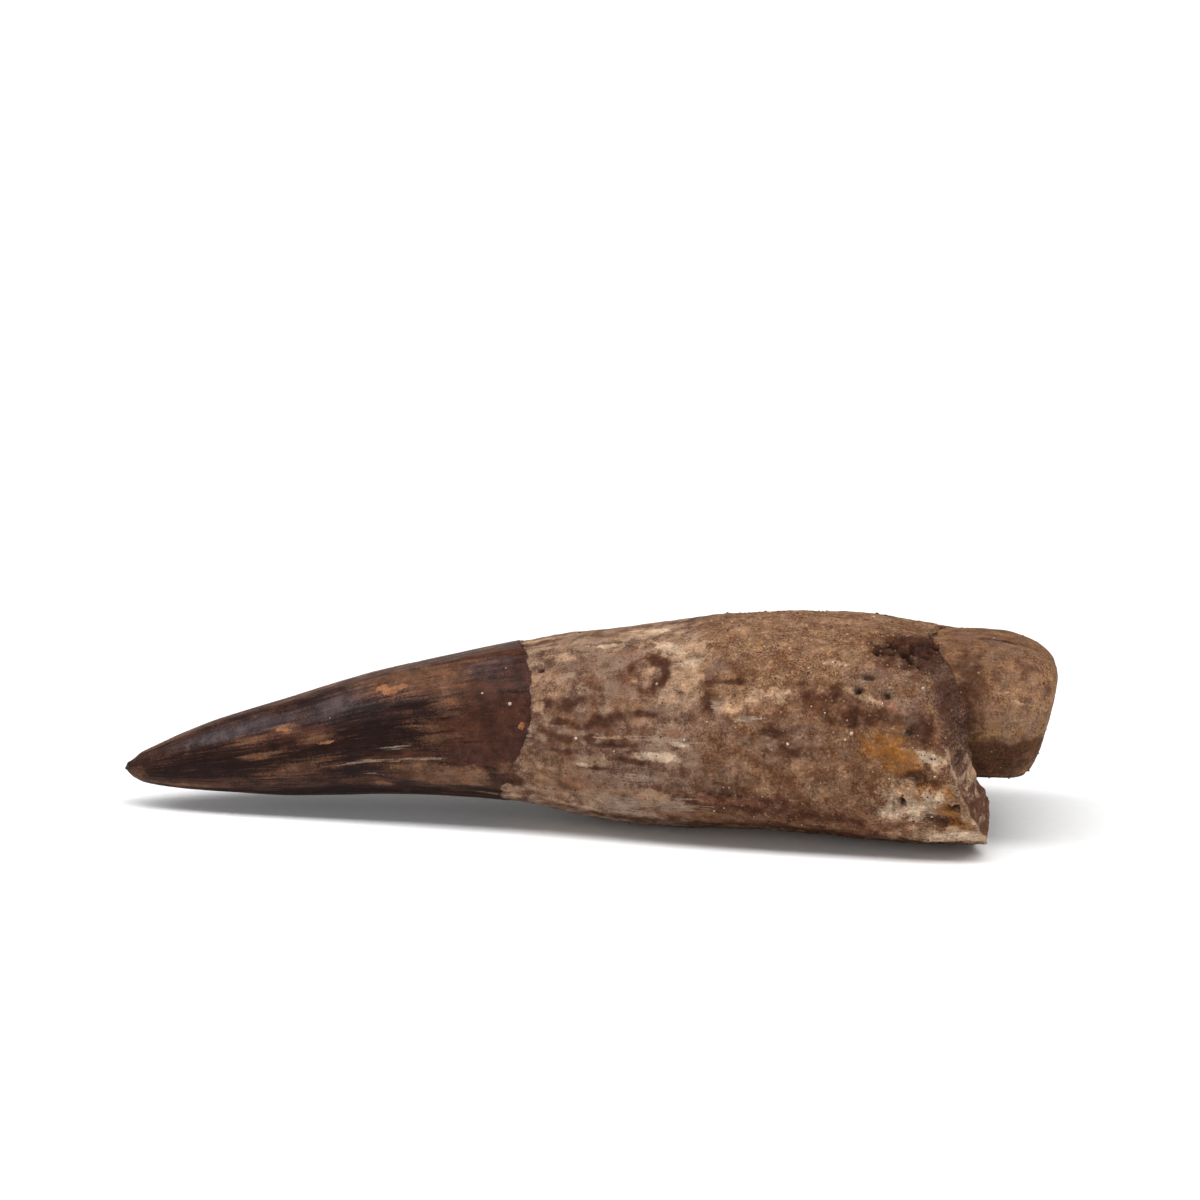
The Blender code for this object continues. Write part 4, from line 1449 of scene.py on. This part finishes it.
def skin_mesh(surface, fields):
    """The tooth's mesh, with its stains and its flow as attributes."""
    rows = len(surface.points)
    points = np.concatenate([[surface.tip], surface.points.reshape(-1, 3), [surface.end]])
    mesh = bpy.data.meshes.new("fossil_tooth")
    mesh.from_pydata((inside_box(points) * MM).tolist(), [], skin_faces(rows))
    for name, values in fields.items():
        ends = [[values[0].mean()], values.reshape(-1), [values[-1].mean()]]
        layer = mesh.attributes.new(name, "FLOAT", "POINT")
        layer.data.foreach_set("value", np.concatenate(ends).astype(np.float32))
    ends = [[surface.flow[0].mean(axis=0)], surface.flow.reshape(-1, 3), [surface.flow[-1].mean(axis=0)]]
    flow = np.concatenate(ends)
    layer = mesh.attributes.new("flow", "FLOAT_VECTOR", "POINT")
    layer.data.foreach_set("vector", flow.astype(np.float32).ravel())
    unwrap(mesh, surface)
    mesh.shade_smooth()
    return mesh


def unwrap(mesh, surface):
    """Rolls the skin out flat: around the tooth one way, along it the other."""
    steps = np.linalg.norm(np.diff(surface.points, axis=0), axis=-1).mean(axis=1)
    run = np.concatenate([[0.0, POLE_GAP], POLE_GAP + np.cumsum(steps)])
    run = np.concatenate([run, [run[-1] + POLE_GAP]]) / (run[-1] + POLE_GAP)
    rows = len(surface.points)
    corners = np.empty(len(mesh.loops), dtype=np.int32)
    mesh.loops.foreach_get("vertex_index", corners)
    starts = np.empty(len(mesh.polygons), dtype=np.int32)
    totals = np.empty(len(mesh.polygons), dtype=np.int32)
    mesh.polygons.foreach_get("loop_start", starts)
    mesh.polygons.foreach_get("loop_total", totals)
    pole = (corners == 0) | (corners == rows * AROUND + 1)
    row = np.where(corners == 0, 0, (corners - 1) // AROUND + 1)
    column = ((corners - 1) % AROUND).astype(float)
    face = np.repeat(np.arange(len(starts)), totals)
    columns = np.where(pole, np.nan, column)
    lowest = np.fmin.reduceat(columns, starts)[face]
    highest = np.fmax.reduceat(columns, starts)[face]
    wraps = (highest == AROUND - 1) & (lowest == 0)
    column = np.where(wraps & (column == 0) & ~pole, AROUND, column)
    middle = np.where(wraps, AROUND - 0.5, (lowest + highest) / 2)
    column = np.where(pole, middle, column)
    layer = mesh.uv_layers.new(name="OFBake")
    flat = np.stack([column / AROUND, run[row]], axis=-1)
    layer.data.foreach_set("uv", flat.astype(np.float32).ravel())


def link(name, mesh, material):
    """Adds a mesh to the scene as an object of one material."""
    mesh.materials.append(material)
    piece = bpy.data.objects.new(name, mesh)
    bpy.context.scene.collection.objects.link(piece)
    return piece


# ---- Materials ------------------------------------------------------------------------


def add_node(tree, kind, inputs=None, take=0, stops=(), **settings):
    """Adds a shader node with its settings, its sockets' values or links and its stops.

    It gives back the output named or numbered by take, or the node if take is None.
    """
    node = tree.nodes.new("ShaderNode" + kind)
    for name, value in settings.items():
        setattr(node, name, value)
    for name, value in (inputs or {}).items():
        if isinstance(value, bpy.types.NodeSocket):
            tree.links.new(value, node.inputs[name])
        else:
            node.inputs[name].default_value = value
    if stops:
        elements = node.color_ramp.elements
        while len(elements) < len(stops):
            elements.new(1.0)
        for element, (place, shade) in zip(elements, stops):
            element.position = place
            element.color = shade
    return node if take is None else node.outputs[take]


def new_material(name):
    """An empty node material, and the function that adds nodes to it."""
    material = bpy.data.materials.new(name)
    material.use_nodes = True
    material.node_tree.nodes.clear()
    return material, functools.partial(add_node, material.node_tree)


def noise_patterns(add):
    """The noise that the fossil's finishes share, by name, each about -1 to 1."""
    flow = add("Attribute", take="Vector", attribute_name="flow")
    position = add("TexCoord", take="Object")
    place = add("VectorMath", {0: position, "Scale": 1 / MM}, operation="SCALE")
    noises = {}
    # Each kind's name, coordinates, length, width, detail and roughness of its detail.
    for kind, vector, size, across, detail, roughness in (
        ("streak", flow, STREAK_LENGTH, STREAK_WIDTH, 5.0, 0.62),
        ("thread", flow, THREAD_LENGTH, THREAD_WIDTH, 2.0, 0.6),
        ("mottle", place, MOTTLE_SIZE, MOTTLE_SIZE, 5.0, 0.62),
        ("broad", place, BROAD_SIZE, BROAD_SIZE, 4.0, 0.55),
    ):
        stretch = (1 / size, 1 / across, 1 / across)
        stretched = add("VectorMath", {0: vector, 1: stretch}, operation="MULTIPLY")
        sockets = {"Vector": stretched, "Scale": 1.0, "Detail": detail, "Roughness": roughness}
        channels = add("SeparateXYZ", {0: add("TexNoise", sockets, take="Color")}, take=None)
        for letter, channel in zip("abc", channels.outputs):
            noises[f"{kind}_{letter}"] = channel
    sockets = {"Vector": place, "Scale": 1 / FINE_SIZE, "Detail": 2.0, "Roughness": 0.7}
    noises["fine"] = add("TexNoise", sockets)
    patterns = {
        name: add("Math", {0: channel, 1: NOISE_GAIN, 2: -NOISE_GAIN / 2}, operation="MULTIPLY_ADD")
        for name, channel in noises.items()
    }
    grains = add("TexVoronoi", {"Vector": place, "Scale": 1 / SAND_SIZE}, take=None)
    patterns["grain_distance"] = grains.outputs["Distance"]
    patterns["grain_tone"] = add("SeparateXYZ", {0: grains.outputs["Color"]})
    return patterns


def zone_colour(add, colours, patterns):
    """Enamel, neck, root, fracture and core before their stains."""
    shares = {"core": add("Attribute", take="Fac", attribute_name="core")}
    # Each share rises from 0 to 1 between these two values of its attribute.
    for name, low, high in (
        ("face", *FACE_EDGE),
        ("crown", -CROWN_SOFTNESS, CROWN_SOFTNESS),
        ("root", -ROOT_SOFTNESS, ROOT_SOFTNESS),
    ):
        value = add("Attribute", take="Fac", attribute_name=name)
        if name == "face":
            value = add("Math", {0: patterns["mottle_b"], 1: FACE_FRAY, 2: value}, operation="MULTIPLY_ADD")
        shares[name] = add(
            "MapRange",
            {"Value": value, "From Min": low, "From Max": high},
            interpolation_type="SMOOTHSTEP",
        )
    for zone in ZONES:
        tone = 0.5
        for name, weight in zone.noises.items():
            tone = add("Math", {0: patterns[name], 1: weight, 2: tone}, operation="MULTIPLY_ADD")
        stops = [(at, getattr(colours, name)) for at, name in zip(TONE_STOPS, zone.colours)]
        painted = add("ValToRGB", {0: tone}, stops=stops)
        if zone.name == "neck":
            shade = painted
        else:
            shade = add("Mix", {0: shares[zone.name], 6: shade, 7: painted}, take=2, data_type="RGBA")
    return shade, shares["crown"]


def paint_stains(add, colours, patterns, shade):
    """Lays the stains over the zones, in their order. Some of their marks are painted shade and highlight.
    """
    for stain in STAINS:
        mark = add("Attribute", take="Fac", attribute_name=stain.name)
        frayed = add("Math", {0: patterns[stain.fray], 1: stain.amount, 2: mark}, operation="MULTIPLY_ADD")
        frayed = add("Math", {0: patterns["fine"], 1: FINE_FRAY, 2: frayed}, operation="MULTIPLY_ADD")
        share = add(
            "MapRange",
            {
                "Value": frayed,
                "From Min": STAIN_OUTLINE - stain.soft / 2,
                "From Max": STAIN_OUTLINE + stain.soft / 2,
                "To Max": stain.cover,
            },
            interpolation_type="SMOOTHSTEP",
        )
        main = getattr(colours, stain.name)
        darker = [channel * (1 - stain.vary) for channel in main[:3]] + [1.0]
        lighter = [channel * (1 + stain.vary) for channel in main[:3]] + [1.0]
        tone = add("MapRange", {"Value": patterns[stain.tone], "From Min": -1.0})
        tone = add("ValToRGB", {0: tone}, stops=((0.0, darker), (1.0, lighter)))
        shade = add("Mix", {0: share, 6: shade, 7: tone}, take=2, data_type="RGBA")
    return shade


def weather(add, patterns, shade):
    """Rubbed edges, darker colour in the deepest dents and the tone of single grains."""
    rubbed = add("Attribute", take="Fac", attribute_name="rubbed")
    rub = add("Math", {0: patterns["mottle_a"], 1: RUBBED_FRAY, 2: rubbed}, operation="MULTIPLY_ADD")
    rub = add(
        "MapRange",
        {"Value": rub, "From Min": RUBBED_EDGE[0], "From Max": RUBBED_EDGE[1], "To Max": RUBBED_COVER},
        interpolation_type="SMOOTHSTEP",
    )
    shade = add("Mix", {0: rub, 6: shade, 7: linear(RUBBED)}, take=2, data_type="RGBA")
    dirt = add("Attribute", take="Fac", attribute_name="dirt")
    shade = add("Mix", {0: dirt, 6: shade, 7: linear(DENT_DARK)}, take=2, data_type="RGBA")
    # Value of the colour: 1, lighter on some grains, darker on others.
    sandy = add("Attribute", take="Fac", attribute_name="sandy")
    light = add("Math", {0: patterns["grain_tone"], 1: LIGHT_GRAIN_POWER}, operation="POWER")
    other = add("Math", {0: 1.0, 1: patterns["grain_tone"]}, operation="SUBTRACT")
    dark = add("Math", {0: other, 1: DARK_GRAIN_POWER}, operation="POWER")
    tone = add("Math", {0: light, 1: LIGHT_GRAIN}, operation="MULTIPLY")
    tone = add("Math", {0: dark, 1: -DARK_GRAIN, 2: tone}, operation="MULTIPLY_ADD")
    tone = add("Math", {0: tone, 1: sandy, 2: 1.0}, operation="MULTIPLY_ADD")
    for name, weight in (("fine", FINE_TONE), ("mottle_b", CLOUD_TONE), ("thread_c", THREAD_TONE)):
        tone = add("Math", {0: patterns[name], 1: weight, 2: tone}, operation="MULTIPLY_ADD")
    richness = add("Math", {0: patterns["mottle_a"], 1: RICHNESS, 2: 1.0}, operation="MULTIPLY_ADD")
    return add("HueSaturation", {"Value": tone, "Saturation": richness, "Color": shade})


def fine_relief(add, patterns, crown):
    """Normal of the relief that is too fine for the mesh, from heights in millimetres."""
    sandy = add("Attribute", take="Fac", attribute_name="sandy")
    outside = add("Math", {0: 1.0, 1: crown}, operation="SUBTRACT")
    grain = add("Math", {0: patterns["grain_distance"], 1: -GRAIN_HEIGHT}, operation="MULTIPLY")
    height = add("Math", {0: grain, 1: sandy}, operation="MULTIPLY")
    dull = add("Math", {0: patterns["mottle_b"], 1: BLOTCH_HEIGHT}, operation="MULTIPLY")
    dull = add("Math", {0: patterns["fine"], 1: FINE_HEIGHT, 2: dull}, operation="MULTIPLY_ADD")
    height = add("Math", {0: dull, 1: outside, 2: height}, operation="MULTIPLY_ADD")
    for name, tallness in (("streak_b", STREAK_HEIGHT), ("thread_a", THREAD_HEIGHT)):
        height = add("Math", {0: patterns[name], 1: tallness, 2: height}, operation="MULTIPLY_ADD")
    return add("Bump", {"Height": height, "Strength": 1.0, "Distance": MM}, take="Normal")


def fossil_material(colours):
    """Fossil tooth: glossy enamel, worn dentine and sandy bone, stained by minerals, with some painted
    shade and highlight in its stains.

    Enamel grew in long fibres, so its stains are streaks and it shines. The root was
    porous bone and is caked with fine sand, so it is mottled, granular and dull.
    """
    material, add = new_material("fossil_enamel_and_bone")
    patterns = noise_patterns(add)
    shade, crown = zone_colour(add, colours, patterns)
    shade = paint_stains(add, colours, patterns, shade)
    shade = weather(add, patterns, shade)
    roughness = add("MapRange", {"Value": crown, "To Min": DULL_ROUGHNESS, "To Max": ENAMEL_ROUGHNESS})
    change = {0: patterns["streak_a"], 1: ROUGHNESS_CHANGE, 2: roughness}
    roughness = add("Math", change, operation="MULTIPLY_ADD")
    surface = add(
        "BsdfPrincipled",
        {
            "Base Color": shade,
            "Roughness": roughness,
            "IOR": APATITE_IOR,
            "Specular IOR Level": SHINE,
            "Normal": fine_relief(add, patterns, crown),
        },
    )
    add("OutputMaterial", {"Surface": surface}, take=None)
    return material


def sand_material():
    """Quartz sand: loose grains, worn round, stained by iron and clay.

    Each grain is one tone, from clay brown to nearly white, with a faint glint.
    """
    material, add = new_material("quartz_sand")
    tone = add("Attribute", take="Fac", attribute_name="tone")
    shade = add("ValToRGB", {0: tone}, stops=[(at, linear(code)) for at, code in SAND_TONES])
    position = add("TexCoord", take="Object")
    mottle = add("TexNoise", {"Vector": position, "Scale": 1 / (GRAIN_MOTTLE * MM), "Detail": 2.0})
    low, high = GRAIN_CONTRAST
    dark, light = GRAIN_SHADES
    contrast = {"From Min": low, "From Max": high, "To Min": dark, "To Max": light}
    value = add("MapRange", {"Value": mottle, **contrast})
    shade = add("HueSaturation", {"Value": value, "Color": shade})
    smooth, rough = GRAIN_ROUGHNESS
    roughness = add("MapRange", {"Value": mottle, "To Min": smooth, "To Max": rough})
    normal = add("Bump", {"Height": mottle, "Distance": GRAIN_RELIEF * MM, "Strength": 1.0}, take="Normal")
    surface = add(
        "BsdfPrincipled",
        {
            "Base Color": shade,
            "Roughness": roughness,
            "IOR": QUARTZ_IOR,
            "Specular IOR Level": SHINE,
            "Normal": normal,
        },
    )
    add("OutputMaterial", {"Surface": surface}, take=None)
    return material


def floor_material():
    """Matt white paper: a pale sweep, pressed smooth, that scatters light evenly.

    Its fibres give it a very faint mottling. Away from the tooth it is lit from below.
    """
    material, add = new_material("matt_white_paper")
    position = add("TexCoord", take="Object")
    fibre = add("TexNoise", {"Vector": position, "Scale": 1 / (PAPER_FIBRE * MM), "Detail": 2.0})
    shade = add("ValToRGB", {0: fibre}, stops=[(at, linear(code)) for at, code in PAPER_TONES])
    distance = add("VectorMath", {0: position}, take="Value", operation="LENGTH")
    glow = add(
        "MapRange",
        {"Value": distance, "From Min": GLOW_START * MM, "From Max": GLOW_END * MM, "To Max": GLOW},
        interpolation_type="SMOOTHSTEP",
    )
    surface = add(
        "BsdfPrincipled",
        {
            "Base Color": shade,
            "Roughness": PAPER_ROUGHNESS,
            "Specular IOR Level": PAPER_SHINE,
            "Emission Color": WHITE,
            "Emission Strength": glow,
        },
    )
    add("OutputMaterial", {"Surface": surface}, take=None)
    return material


# ---- Pieces -----------------------------------------------------------------------------


def build_tooth(sizes, colours):
    """The tooth's skin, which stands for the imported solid."""
    surface = Surface()
    height = relief(surface, sizes)
    surface.shift(height)
    mesh = skin_mesh(surface, stain_fields(surface, height))
    tooth = link("fossil_tooth", mesh, fossil_material(colours))
    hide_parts(NODE)
    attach(tooth, BODY)
    return surface


def grain_shape():
    """Corners and triangles of an icosahedron of radius 1."""
    golden = (1 + math.sqrt(5)) / 2
    corners = []
    for short, long in itertools.product((-1, 1), (-golden, golden)):
        corners += [(0, short, long), (short, long, 0), (long, 0, short)]
    corners = np.array(corners) / math.hypot(1, golden)
    just_over_edge = 1.01 * 2 / math.hypot(1, golden)
    triangles = []
    for trio in itertools.combinations(range(len(corners)), 3):
        a, b, c = corners[list(trio)]
        if max(np.linalg.norm(a - b), np.linalg.norm(b - c), np.linalg.norm(c - a)) < just_over_edge:
            outwards = np.dot(np.cross(b - a, c - a), a + b + c) > 0
            triangles.append(trio if outwards else trio[::-1])
    return corners, np.array(triangles)


def sand_places(surface, count, size, rng):
    """Where the loose grains lie: row, column, radius and tone of each."""
    forward = np.linalg.norm(np.gradient(surface.points, axis=0), axis=-1)
    around = np.linalg.norm(np.roll(surface.points, -1, axis=1) - surface.points, axis=-1)
    cluster = rise(ripples(surface.place, SAND_CLUSTERS), *SAND_GROUPS)
    chance = forward * around * sandiness(surface) ** SAND_CONTRAST * (LEAST_SAND + cluster)
    chance[surface.points[..., 2] < SAND_FREE_HEIGHT] = 0
    cells = rng.choice(chance.size, size=count, replace=False, p=(chance / chance.sum()).ravel())
    rows, columns = np.unravel_index(cells, chance.shape)
    radii = size / 2 * np.exp(rng.normal(0.0, GRAIN_SPREAD, count)).clip(*GRAIN_RANGE)
    return rows, columns, radii, rng.beta(*GRAIN_TONES, count)


def pale_places(surface, rng):
    """The larger pale grains, each at a place of its own, and partners on the far side."""
    partners = []
    for along, degrees, radius in PALE_GRAINS:
        shifted = along + rng.uniform(-PALE_SHIFT, PALE_SHIFT)
        turned = FAR_TURN - degrees + rng.uniform(-PALE_TURN, PALE_TURN)
        partners.append((shifted, turned, radius))
    rows, columns, radii, tones = [], [], [], []
    for along, degrees, radius in PALE_GRAINS + tuple(partners):
        column = int(round(degrees / 360 * AROUND)) % AROUND
        rows.append(int(np.argmin(np.abs(surface.along[:WALL_ROWS, column] - along))))
        columns.append(column)
        radii.append(radius)
        tones.append(rng.uniform(*PALE_TONES))
    return np.array(rows), np.array(columns), np.array(radii), np.array(tones)


def build_sand(surface, settings):
    """Sand grains stuck to the tooth, as one mesh."""
    rng = np.random.default_rng(SAND_SEED)
    loose = sand_places(surface, settings.grains, settings.grain / MM, rng)
    pale = pale_places(surface, rng)
    rows, columns, radii, tones = (np.concatenate(pair) for pair in zip(loose, pale))
    corners, triangles = grain_shape()
    count = len(rows)
    normals = surface.normals()[rows, columns]
    sunk = radii * rng.uniform(-GRAIN_SINK, 0.0, count)
    middles = surface.points[rows, columns] + normals * sunk[:, None]
    # Each grain is turned by a random angle about a random axis.
    turns = rng.normal(size=(count, 4))
    frames = np.array([Matrix.Rotation(2 * math.pi * a, 3, Vector((b, c, d))) for a, b, c, d in turns])
    stretch = rng.uniform(*GRAIN_STRETCH, (count, 1, 3))
    lumps = rng.uniform(*GRAIN_LUMPS, (count, len(corners), 1))
    shapes = corners[None] * lumps * stretch * radii[:, None, None]
    points = np.einsum("nij,nkj->nki", frames, shapes) + middles[:, None]
    faces = triangles[None] + (np.arange(count) * len(corners))[:, None, None]
    points = inside_box(points.reshape(-1, 3)) * MM
    mesh = bpy.data.meshes.new("sand_grains")
    mesh.from_pydata(points.tolist(), [], faces.reshape(-1, 3).tolist())
    layer = mesh.attributes.new("tone", "FLOAT", "POINT")
    layer.data.foreach_set("value", np.repeat(tones, len(corners)).astype(np.float32))
    mesh.shade_smooth()
    sand = link("sand_grains", mesh, sand_material())
    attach(sand, BODY)


def build_floor(radius):
    """A round pale floor under the tooth."""
    turns = [2 * math.pi * side / FLOOR_SIDES for side in range(FLOOR_SIDES)]
    rim = [(radius * math.cos(turn), radius * math.sin(turn), 0.0) for turn in turns]
    mesh = bpy.data.meshes.new("floor")
    mesh.from_pydata(rim, [], [tuple(range(FLOOR_SIDES))])
    floor = link("floor", mesh, floor_material())
    floor.location.z = -FLOOR_GAP * MM


def build_light(name, power, place, across, deep):
    """A rectangular softbox at a place, turned to the tooth."""
    light = bpy.data.lights.new(name, "AREA")
    light.energy = power
    light.shape = "RECTANGLE"
    light.size = across
    light.size_y = deep
    lamp = bpy.data.objects.new(name, light)
    lamp.location = place
    towards = Vector(CAMERA_AIM) - Vector(place)
    lamp.rotation_euler = towards.to_track_quat("-Z", "Y").to_euler()
    bpy.context.scene.collection.objects.link(lamp)


def build_lights(settings):
    """A long strip light overhead and a softbox in front."""
    build_light("overhead_strip", settings.overhead, OVERHEAD_PLACE, OVERHEAD_LENGTH, OVERHEAD_DEPTH)
    build_light("front_softbox", settings.front, FRONT_PLACE, FRONT_WIDTH, FRONT_WIDTH)


def build_sky(strength):
    """White backdrop all round, with a dimmer even light above it."""
    world = bpy.data.worlds.new("light_tent")
    world.use_nodes = True
    world.node_tree.nodes.clear()
    add = functools.partial(add_node, world.node_tree)
    direction = add("TexCoord", take="Generated")
    upward = add("SeparateXYZ", {0: direction}, take="Z")
    light = add(
        "MapRange",
        {
            "Value": upward,
            "From Min": math.sin(math.radians(HORIZON_TOP)),
            "From Max": math.sin(math.radians(SKY_BOTTOM)),
            "To Min": 1.0,
            "To Max": strength,
        },
        interpolation_type="SMOOTHSTEP",
    )
    backdrop = add("Background", {"Color": WHITE, "Strength": light})
    add("OutputWorld", {"Surface": backdrop}, take=None)
    bpy.context.scene.world = world


def build_camera():
    """The camera, which looks down a little from in front of the tooth."""
    azimuth, elevation = math.radians(CAMERA_AZIMUTH), math.radians(CAMERA_ELEVATION)
    back = Vector(
        (
            math.sin(azimuth) * math.cos(elevation),
            -math.cos(azimuth) * math.cos(elevation),
            math.sin(elevation),
        )
    )
    lens = bpy.data.cameras.new("camera")
    lens.lens = CAMERA_LENS
    lens.sensor_width = CAMERA_SENSOR
    lens.clip_start = NEAREST_SEEN
    camera = bpy.data.objects.new("camera", lens)
    camera.location = Vector(CAMERA_AIM) + back * CAMERA_DISTANCE
    camera.rotation_euler = (-back).to_track_quat("-Z", "Y").to_euler()
    bpy.context.scene.collection.objects.link(camera)
    bpy.context.scene.camera = camera


# ---- Operators and panel ------------------------------------------------------------------

SKIN = {}                       # the surface last built, which the sand lies on


class FOSSIL_OT_tooth(bpy.types.Operator):
    """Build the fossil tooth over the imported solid"""

    bl_idname = "fossil.tooth"
    bl_label = "Fossil Tooth"
    bl_options = {"REGISTER", "UNDO"}

    def execute(self, context):
        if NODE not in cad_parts:
            raise RuntimeError(f"the packed model has no node called {NODE}")
        SKIN["surface"] = build_tooth(context.scene.tooth_relief, context.scene.tooth_colours)
        return {"FINISHED"}


class FOSSIL_OT_sand(bpy.types.Operator):
    """Scatter sand grains over the fossil tooth"""

    bl_idname = "fossil.sand"
    bl_label = "Sand Grains"
    bl_options = {"REGISTER", "UNDO"}

    def execute(self, context):
        if "surface" not in SKIN:
            raise RuntimeError("build the fossil tooth before its sand grains")
        build_sand(SKIN["surface"], context.scene.tooth_sand)
        return {"FINISHED"}


class FOSSIL_OT_stage(bpy.types.Operator):
    """Set up the pale floor, the soft light and the camera"""

    bl_idname = "fossil.stage"
    bl_label = "Stage"
    bl_options = {"REGISTER", "UNDO"}

    def execute(self, context):
        settings = context.scene.tooth_stage
        build_floor(settings.floor)
        build_sky(settings.sky)
        build_lights(settings)
        build_camera()
        context.scene.view_settings.view_transform = "Standard"
        return {"FINISHED"}


class FOSSIL_PT_panel(bpy.types.Panel):
    """The tooth's operators and settings"""

    bl_label = "Fossil Tooth"
    bl_idname = "FOSSIL_PT_panel"
    bl_space_type = "VIEW_3D"
    bl_region_type = "UI"
    bl_category = "Fossil Tooth"

    def draw(self, context):
        for operator, group in (
            (FOSSIL_OT_tooth, context.scene.tooth_relief),
            (FOSSIL_OT_sand, context.scene.tooth_sand),
            (FOSSIL_OT_stage, context.scene.tooth_stage),
        ):
            box = self.layout.box()
            box.operator(operator.bl_idname)
            for name in group.bl_rna.properties.keys():
                if name not in {"rna_type", "name"}:
                    box.prop(group, name)
        box = self.layout.box()
        for name in ToothColours.__annotations__:
            box.prop(context.scene.tooth_colours, name)


CLASSES = (
    ToothRelief,
    SandSettings,
    ToothColours,
    StageSettings,
    FOSSIL_OT_tooth,
    FOSSIL_OT_sand,
    FOSSIL_OT_stage,
    FOSSIL_PT_panel,
)
SCENE_GROUPS = {
    "tooth_relief": ToothRelief,
    "tooth_sand": SandSettings,
    "tooth_colours": ToothColours,
    "tooth_stage": StageSettings,
}


def register():
    """Adds the classes and each scene's settings to Blender."""
    for kind in CLASSES:
        bpy.utils.register_class(kind)
    for name, group in SCENE_GROUPS.items():
        setattr(bpy.types.Scene, name, PointerProperty(type=group))


def unregister():
    """Takes the settings and the classes out again."""
    for name in SCENE_GROUPS:
        delattr(bpy.types.Scene, name)
    for kind in reversed(CLASSES):
        bpy.utils.unregister_class(kind)


def main():
    """Builds everything in order."""
    register()
    bpy.ops.fossil.tooth()
    bpy.ops.fossil.sand()
    bpy.ops.fossil.stage()
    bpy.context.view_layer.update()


if __name__ == "__main__":
    main()
